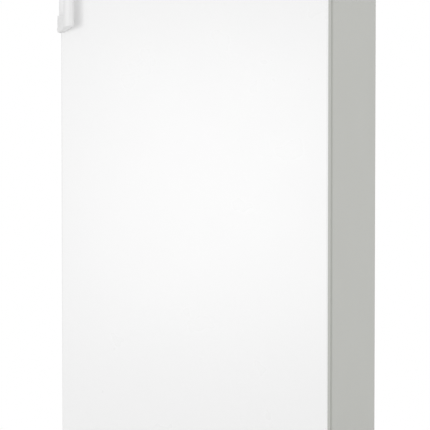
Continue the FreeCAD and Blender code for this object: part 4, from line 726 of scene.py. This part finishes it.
def wires(radius, low, high, count, step):
    """A row of straight round wires with eased ends, the first from low to high, the others step by step."""
    low, high = Vector(low), Vector(high)
    start_fresh()
    bpy.ops.mesh.primitive_cylinder_add(vertices=10, radius=radius, depth=(high - low).length,
                                        location=(low + high)/2,
                                        rotation=(high - low).to_track_quat("Z", "Y").to_euler())
    bpy.ops.object.transform_apply(location=True, rotation=True, scale=True)
    ease_edges(radius*0.4)
    row = bpy.context.object.modifiers.new("row", "ARRAY")
    row.use_relative_offset = False
    row.use_constant_offset = True
    row.constant_offset_displace = step
    row.count = count
    bpy.ops.object.modifier_apply(modifier=row.name)
    return bpy.context.object


def join(parts):
    """Makes the parts one piece, on the first one's origin."""
    start_fresh()
    for part in parts:
        part.select_set(True)
    bpy.context.view_layer.objects.active = parts[0]
    bpy.ops.object.join()
    return bpy.context.object


SHELVES = 4
SHELF_LOWEST = 0.384
SHELF_STEP = 0.285
SHELF_FRONT = -0.210
PASSES = 4
PIPE_PITCH = 0.126
PIPE_HALF = 0.222
PIPE_RADIUS = 0.004
PIPE_TOP = 0.00346      # the top of the CAD pipe's six sides, which carries the wires
WELD_GAP = 0.00015
WIRE_RADIUS = 0.0015
WIRE_STEP = 0.038
WIRE_COUNT = 9
WIRE_PAST = 0.001
END_WIRE_RADIUS = 0.0019
END_WIRE_PAST = 0.004
END_WIRE_UP = 0.0001
wire_level = SHELF_LOWEST + PIPE_TOP + WELD_GAP + WIRE_RADIUS
end_level = wire_level + END_WIRE_UP
shelf_rear = SHELF_FRONT + (PASSES - 1)*PIPE_PITCH
reach = (WIRE_COUNT - 1)/2*WIRE_STEP
pipe = run_pipe(to_and_fro(PASSES, PIPE_HALF, PIPE_PITCH, lambda u, v: (u, SHELF_FRONT + v, SHELF_LOWEST)),
                PIPE_RADIUS, PIPE_PITCH/2, 16, 8)
row = wires(WIRE_RADIUS, (-reach, SHELF_FRONT - WIRE_PAST, wire_level),
            (-reach, shelf_rear + WIRE_PAST, wire_level), WIRE_COUNT, (WIRE_STEP, 0, 0))
ends = wires(END_WIRE_RADIUS, (-reach - END_WIRE_PAST, SHELF_FRONT, end_level),
             (reach + END_WIRE_PAST, SHELF_FRONT, end_level), 2, (0, shelf_rear - SHELF_FRONT, 0))
shelf_pattern = join([pipe, row, ends])
for number in range(SHELVES):
    one = another(shelf_pattern)
    one.location = (0, 0, number*SHELF_STEP)
    settle(f"evaporator_shelf_{number + 1}_welded", dip_coat, "cabinet")
    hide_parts(f"evaporator_shelf_{number + 1}")
bpy.data.objects.remove(shelf_pattern)

# ---------------------------------------- condenser
# Steel tube bent to and fro behind the cabinet, with wires spot-welded along it, dipped in black enamel and
# held off the back sheet by four small feet.
ENAMEL_FLOW = 1/160     # about 6 mm
black_enamel = blank("black_dipped_enamel")
spot = add_node(black_enamel, "TexCoord").outputs["Object"]
flow = add_node(black_enamel, "TexNoise", {"Vector": spot, "Scale": 1/ENAMEL_FLOW, "Detail": 3.0})
relief = add_node(black_enamel, "Bump", {
    "Height": flow.outputs["Fac"], "Strength": 0.15, "Distance": 0.0003})
rough = add_node(black_enamel, "MapRange", {"Value": flow.outputs["Fac"], "To Min": 0.28, "To Max": 0.44})
tone = add_node(black_enamel, "Mix", {0: flow.outputs["Fac"], 6: linear("#191A1B"), 7: linear("#242526")},
                data_type="RGBA")
shader = add_node(black_enamel, "BsdfPrincipled", {
    "Base Color": tone.outputs[2], "Roughness": rough.outputs["Result"], "Normal": relief.outputs["Normal"]})
add_node(black_enamel, "OutputMaterial", {"Surface": shader.outputs["BSDF"]})

COND_PASSES = 12
COND_PITCH = 0.110
COND_LOW = 0.345
COND_HALF = 0.250
COND_PLANE = 0.304
COND_RADIUS = 0.003
COND_BACK = 0.00212     # the back of the CAD tube's four sides, which carries the wires
COND_WIRE_RADIUS = 0.0008
COND_WIRE_X = 0.192
COND_WIRE_STEP = 0.032
COND_WIRE_COUNT = 13
COND_END_RADIUS = 0.0012
COND_END_X = 0.194
BACK_SHEET = 0.291
COND_FOOT_REAR = COND_PLANE - 0.001
COND_FOOT_SIZE = (0.016, COND_FOOT_REAR - BACK_SHEET, 0.004)
COND_FOOT_OUT = 0.85    # of the tube's straight run
COND_FOOT_EASE = 0.0008
cond_high = COND_LOW + (COND_PASSES - 1)*COND_PITCH
cond_run = COND_HALF - COND_PITCH/2
cond_wire = COND_PLANE + COND_BACK + WELD_GAP + COND_WIRE_RADIUS
tube = run_pipe(to_and_fro(COND_PASSES, COND_HALF, COND_PITCH, lambda u, v: (u, COND_PLANE, COND_LOW + v)),
                COND_RADIUS, COND_PITCH/2, 12, 8)
row = wires(COND_WIRE_RADIUS, (-COND_WIRE_X, cond_wire, COND_LOW), (-COND_WIRE_X, cond_wire, cond_high),
            COND_WIRE_COUNT, (COND_WIRE_STEP, 0, 0))
ends = wires(COND_END_RADIUS, (-COND_END_X, cond_wire, COND_LOW), (COND_END_X, cond_wire, COND_LOW), 2,
             (0, 0, cond_high - COND_LOW))
feet = []
for x in (-COND_FOOT_OUT*cond_run, COND_FOOT_OUT*cond_run):
    for z in (COND_LOW + COND_PITCH, cond_high - COND_PITCH):
        feet.append(block((x, (BACK_SHEET + COND_FOOT_REAR)/2, z), COND_FOOT_SIZE))
        ease_edges(COND_FOOT_EASE)
condenser = join([tube, row, ends] + feet)
settle("condenser_wire_on_tube", black_enamel, "cabinet")
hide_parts("condenser")

# ---------------------------------------- compressor
# Two deep-drawn steel halves welded round a belt seam on a pressed plate, in black stoving enamel. It stands
# on four rubber grommets, each held by a bolt and washer.
COMPRESSOR = (0.060, 0.215)
SHELL_LOW = 0.048
PLATE_SIZE = (0.198, 0.128, 0.0035)
PLATE_CORNER = 0.014
PLATE_EASE = 0.0008
shell = turn((*COMPRESSOR, SHELL_LOW), [
    (0.050, 0.001), (0.060, 0.005), (0.069, 0.014), (0.0735, 0.026), (0.0735, 0.069), (0.0765, 0.0705),
    (0.0765, 0.0755), (0.0735, 0.077), (0.0733, 0.112), (0.0705, 0.130), (0.063, 0.144), (0.050, 0.153),
    (0.034, 0.158), (0.012, 0.1595)], 64)
plate = block((*COMPRESSOR, SHELL_LOW + PLATE_SIZE[2]/2), PLATE_SIZE)
bpy.ops.object.mode_set(mode="EDIT")
pick("edges", lambda e: abs(e.verts[0].co.z - e.verts[1].co.z) > PLATE_SIZE[2]/2)
bpy.ops.mesh.bevel(offset=PLATE_CORNER, segments=6)
bpy.ops.object.mode_set(mode="OBJECT")
ease_edges(PLATE_EASE)
compressor = join([shell, plate])
settle("compressor_shell", black_enamel, "cabinet")
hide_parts("compressor")

# The grommets are nitrile rubber: matt black, with a paler bloom of wax.
RUBBER_BLOOM = 1/300    # about 3.3 mm
rubber = blank("black_nitrile_rubber")
spot = add_node(rubber, "TexCoord").outputs["Object"]
bloom = add_node(rubber, "TexNoise", {"Vector": spot, "Scale": 1/RUBBER_BLOOM, "Detail": 3.0})
relief = add_node(rubber, "Bump", {"Height": bloom.outputs["Fac"], "Strength": 0.2, "Distance": 0.0002})
tone = add_node(rubber, "Mix", {0: bloom.outputs["Fac"], 6: linear("#262625"), 7: linear("#333331")},
                data_type="RGBA")
shader = add_node(rubber, "BsdfPrincipled", {
    "Base Color": tone.outputs[2], "Roughness": 0.82, "Normal": relief.outputs["Normal"]})
add_node(rubber, "OutputMaterial", {"Surface": shader.outputs["BSDF"]})
MOUNT_PLACES = [(x, y) for x in (-0.025, 0.145) for y in (0.165, 0.265)]
MOUNT = [(0.0110, 0.031), (0.0118, 0.0325), (0.0115, 0.0339), (0.0086, 0.0341), (0.0086, 0.0359),
         (0.0132, 0.0361), (0.0134, 0.0385), (0.0120, 0.0395), (0.0120, 0.0410), (0.0134, 0.0420),
         (0.0134, 0.0445), (0.0128, 0.0479)]
BOLT_ON_WASHER = [(0.0085, 0.0516), (0.0085, 0.0530), (0.0062, 0.0531), (0.0062, 0.0570), (0.0050, 0.0578)]
for number, (x, y) in enumerate(MOUNT_PLACES, 1):
    turn((x, y, 0), MOUNT, 32)
    mount = settle(f"compressor_mount_{number}_ribbed", rubber, "cabinet")
    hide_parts(f"compressor_mount_{number}")
    turn((x, y, 0), BOLT_ON_WASHER, 6)
    settle(f"compressor_bolt_{number}", drawn_steel, "cabinet")

# ---------------------------------------- pipes
# Drawn copper, brazed to the steel shell and to the condenser. Handling and brazing leave it blotched with
# darker oxide.
OXIDE = 1/45            # about 22 mm
copper = blank("drawn_copper")
spot = add_node(copper, "TexCoord").outputs["Object"]
oxide = add_node(copper, "TexNoise", {"Vector": spot, "Scale": 1/OXIDE, "Detail": 5.0})
tone = add_node(copper, "Mix", {0: oxide.outputs["Fac"], 6: linear("#8E5636"), 7: linear("#C98A62")},
                data_type="RGBA")
rough = add_node(copper, "MapRange", {"Value": oxide.outputs["Fac"], "To Min": 0.5, "To Max": 0.25})
shader = add_node(copper, "BsdfPrincipled", {
    "Base Color": tone.outputs[2], "Metallic": 1.0, "Roughness": rough.outputs["Result"]})
add_node(copper, "OutputMaterial", {"Surface": shader.outputs["BSDF"]})
SHELL_LEFT = COMPRESSOR[0] - 0.0731
COPPER_RADIUS = COND_RADIUS*0.98
COPPER_BEND = 0.014
COPPER_SIDES = 16
BEND_STEPS = 6
PIPES_END = 0.299       # where pipes go up through the niche's roof
DISCHARGE_X = -0.090
DISCHARGE_Z = 0.150
RISE_X = -0.268
discharge_y = COMPRESSOR[1] + 0.007
run_pipe([(SHELL_LEFT, discharge_y, DISCHARGE_Z), (DISCHARGE_X, discharge_y, DISCHARGE_Z),
          (DISCHARGE_X, COND_PLANE, DISCHARGE_Z), (RISE_X, COND_PLANE, DISCHARGE_Z),
          (RISE_X, COND_PLANE, cond_high), (-cond_run, COND_PLANE, cond_high)],
         COPPER_RADIUS, COPPER_BEND, COPPER_SIDES, BEND_STEPS)
piece = settle("discharge_pipe_bent", copper, "cabinet")
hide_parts("discharge_pipe")
SUCTION_X = -0.052
SUCTION_Z = 0.108
SUCTION_RADIUS = 0.0044
suction_y = COMPRESSOR[1] - 0.006
run_pipe([(SHELL_LEFT, suction_y, SUCTION_Z), (SUCTION_X, suction_y, SUCTION_Z),
          (SUCTION_X, suction_y, PIPES_END)], SUCTION_RADIUS, COPPER_BEND, COPPER_SIDES, BEND_STEPS)
piece = settle("suction_pipe_bent", copper, "cabinet")
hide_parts("suction_pipe")
DRIER_X = -0.232
LIQUID_END = 0.292
CAPILLARY_START = 0.198
CAPILLARY_Z = 0.176
CAPILLARY_Y = 0.236
CAPILLARY_RADIUS = 0.0011
CAPILLARY_BEND = 0.008
drier = turn((DRIER_X, COND_PLANE, 0), [
    (0.0030, 0.196), (0.0042, 0.2005), (0.0078, 0.2035), (0.0088, 0.208), (0.0088, 0.282), (0.0078, 0.2865),
    (0.0042, 0.2895), (0.0033, 0.294)], 32)
liquid = run_pipe([(-cond_run, COND_PLANE, COND_LOW), (DRIER_X, COND_PLANE, COND_LOW),
                   (DRIER_X, COND_PLANE, LIQUID_END)], COPPER_RADIUS, COPPER_BEND, COPPER_SIDES, BEND_STEPS)
capillary = run_pipe([(DRIER_X, COND_PLANE, CAPILLARY_START), (DRIER_X, COND_PLANE, CAPILLARY_Z),
                      (DRIER_X, CAPILLARY_Y, CAPILLARY_Z), (DRIER_X, CAPILLARY_Y, PIPES_END)],
                     CAPILLARY_RADIUS, CAPILLARY_BEND, 10, BEND_STEPS)
piece = join([drier, liquid, capillary])
settle("filter_drier_brazed", copper, "cabinet")
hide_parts("filter_drier")

# ---------------------------------------- screws and inlet blades
# Plated pan-head screws with a crossed recess hold the back sheet at its edges and the inlet on its tab. The
# inlet's three blades are plated brass, with bevelled tips.
HEAD_HIGH = 0.0021
RECESS = (0.0044, 0.0009, 0.0020)
head = turn((0, 0, 0), [
    (0.0038, 0.0), (0.0040, 0.0004), (0.0039, 0.0011), (0.0032, 0.0018), (0.0020, HEAD_HIGH)], 24)
for size in (RECESS, (RECESS[1], RECESS[0], RECESS[2])):
    cutter = block((0, 0, HEAD_HIGH), size)
    start_fresh()
    head.select_set(True)
    bpy.context.view_layer.objects.active = head
    recess = head.modifiers.new("recess", "BOOLEAN")
    recess.operation = "DIFFERENCE"
    recess.object = cutter
    bpy.ops.object.modifier_apply(modifier=recess.name)
    bpy.data.objects.remove(cutter)


def screw(name, place, size=1.0):
    """A screw driven in from behind, as large as the pattern or smaller."""
    one = another(head)
    one.rotation_euler = (-math.pi/2, 0, 0)
    one.scale = (size, size, size)
    one.location = place
    settle(name, drawn_steel, "cabinet")


SHEET_SCREWS = [(x, z) for x in (-0.281, 0.281) for z in (0.33, 0.65, 0.97, 1.29, 1.60)]
for number, (x, z) in enumerate(SHEET_SCREWS, 1):
    screw(f"back_sheet_screw_{number}", (x, BACK_SHEET, z))
INLET = (-0.205, 0.3185, 0.092)
INLET_SCREW_OUT = 0.0195
INLET_SCREW_SIZE = 0.75
BLADE_Y = 0.3069
BLADE_SIZE = (0.0023, 0.0147, 0.0053)
for number, side in enumerate((-1, 1), 1):
    screw(f"inlet_screw_{number}", (INLET[0] + side*INLET_SCREW_OUT, INLET[1], INLET[2]),
          INLET_SCREW_SIZE)
bpy.data.objects.remove(head)
for number, (x, z) in enumerate(((-0.007, -0.002), (0.007, -0.002), (0, 0.002)), 1):
    tile(f"inlet_blade_{number}", (INLET[0] + x, BLADE_Y, INLET[2] + z), BLADE_SIZE, drawn_steel, "cabinet")

# ---------------------------------------- feet and rollers
# Each front foot is a black nylon moulding: a pad with finger grooves, a hexagon and a threaded stem. Each
# rear roller is a nylon wheel with two treads, a groove between them and a recess round its axle.
FOOT_X = 0.262
FOOT_Y = -0.205
PAD = [(0.0150, 0.0), (0.0172, 0.0018), (0.0174, 0.0120), (0.0166, 0.0138), (0.0096, 0.0141)]
PAD_SIDES = 48
GROOVE_EVERY = 4
GROOVE_EDGE = 0.0003
GROOVE_DEEP = 0.0008
HEXAGON = [(0.0088, 0.0140), (0.0098, 0.0146), (0.0098, 0.0204), (0.0088, 0.0210)]
STEM_LOW = 0.021
STEM_HIGH = 0.0555
THREAD_PITCH = 0.00125
STEM_RADIUS = 0.0044
THREAD_RADIUS = 0.0049
STEM_TIP = (0.0042, 0.0558)
ROLLER_X = 0.255
ROLLER_Y = 0.262
ROLLER_Z = 0.015
ROLLER = [(0.0070, -0.0120), (0.0105, -0.0120), (0.0108, -0.0108), (0.0128, -0.0108), (0.0130, -0.0120),
          (0.0142, -0.0120), (0.0149, -0.0110), (0.0149, -0.0030), (0.0142, -0.0024), (0.0142, 0.0024),
          (0.0149, 0.0030), (0.0149, 0.0110), (0.0142, 0.0120), (0.0130, 0.0120), (0.0128, 0.0108),
          (0.0108, 0.0108), (0.0105, 0.0120), (0.0070, 0.0120)]


def on_pad(face):
    """Every fourth side face of the pad."""
    return 0.003 < face.calc_center_median().z < 0.011 and side_number(face, PAD_SIDES) % GROOVE_EVERY == 0


for side, name in ((-1, "left"), (1, "right")):
    foot_place = (side*FOOT_X, FOOT_Y, 0)
    pad = turn(foot_place, PAD, PAD_SIDES)
    bpy.ops.object.mode_set(mode="EDIT")
    pick("faces", on_pad)
    bpy.ops.mesh.inset(thickness=GROOVE_EDGE, use_individual=True)
    bpy.ops.transform.shrink_fatten(value=-GROOVE_DEEP)
    bpy.ops.object.mode_set(mode="OBJECT")
    nut = turn(foot_place, HEXAGON, 6)
    thread = []
    for k in range(int((STEM_HIGH - STEM_LOW)/THREAD_PITCH)):
        low = STEM_LOW + k*THREAD_PITCH
        thread += [(STEM_RADIUS, low), (THREAD_RADIUS, low + THREAD_PITCH*0.5)]
    stem = turn(foot_place, thread + [STEM_TIP], 20)
    piece = join([pad, nut, stem])
    settle(f"foot_{name}_threaded", black_nylon, f"{name}_foot", smooth=50)
    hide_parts(f"foot_{name}")
    wheel = turn((side*ROLLER_X, ROLLER_Y, ROLLER_Z), ROLLER, 48)
    wheel.rotation_euler = (0, math.pi/2, 0)
    settle(f"roller_{name}_treaded", black_nylon, f"{name}_roller")
    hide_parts(f"roller_{name}")
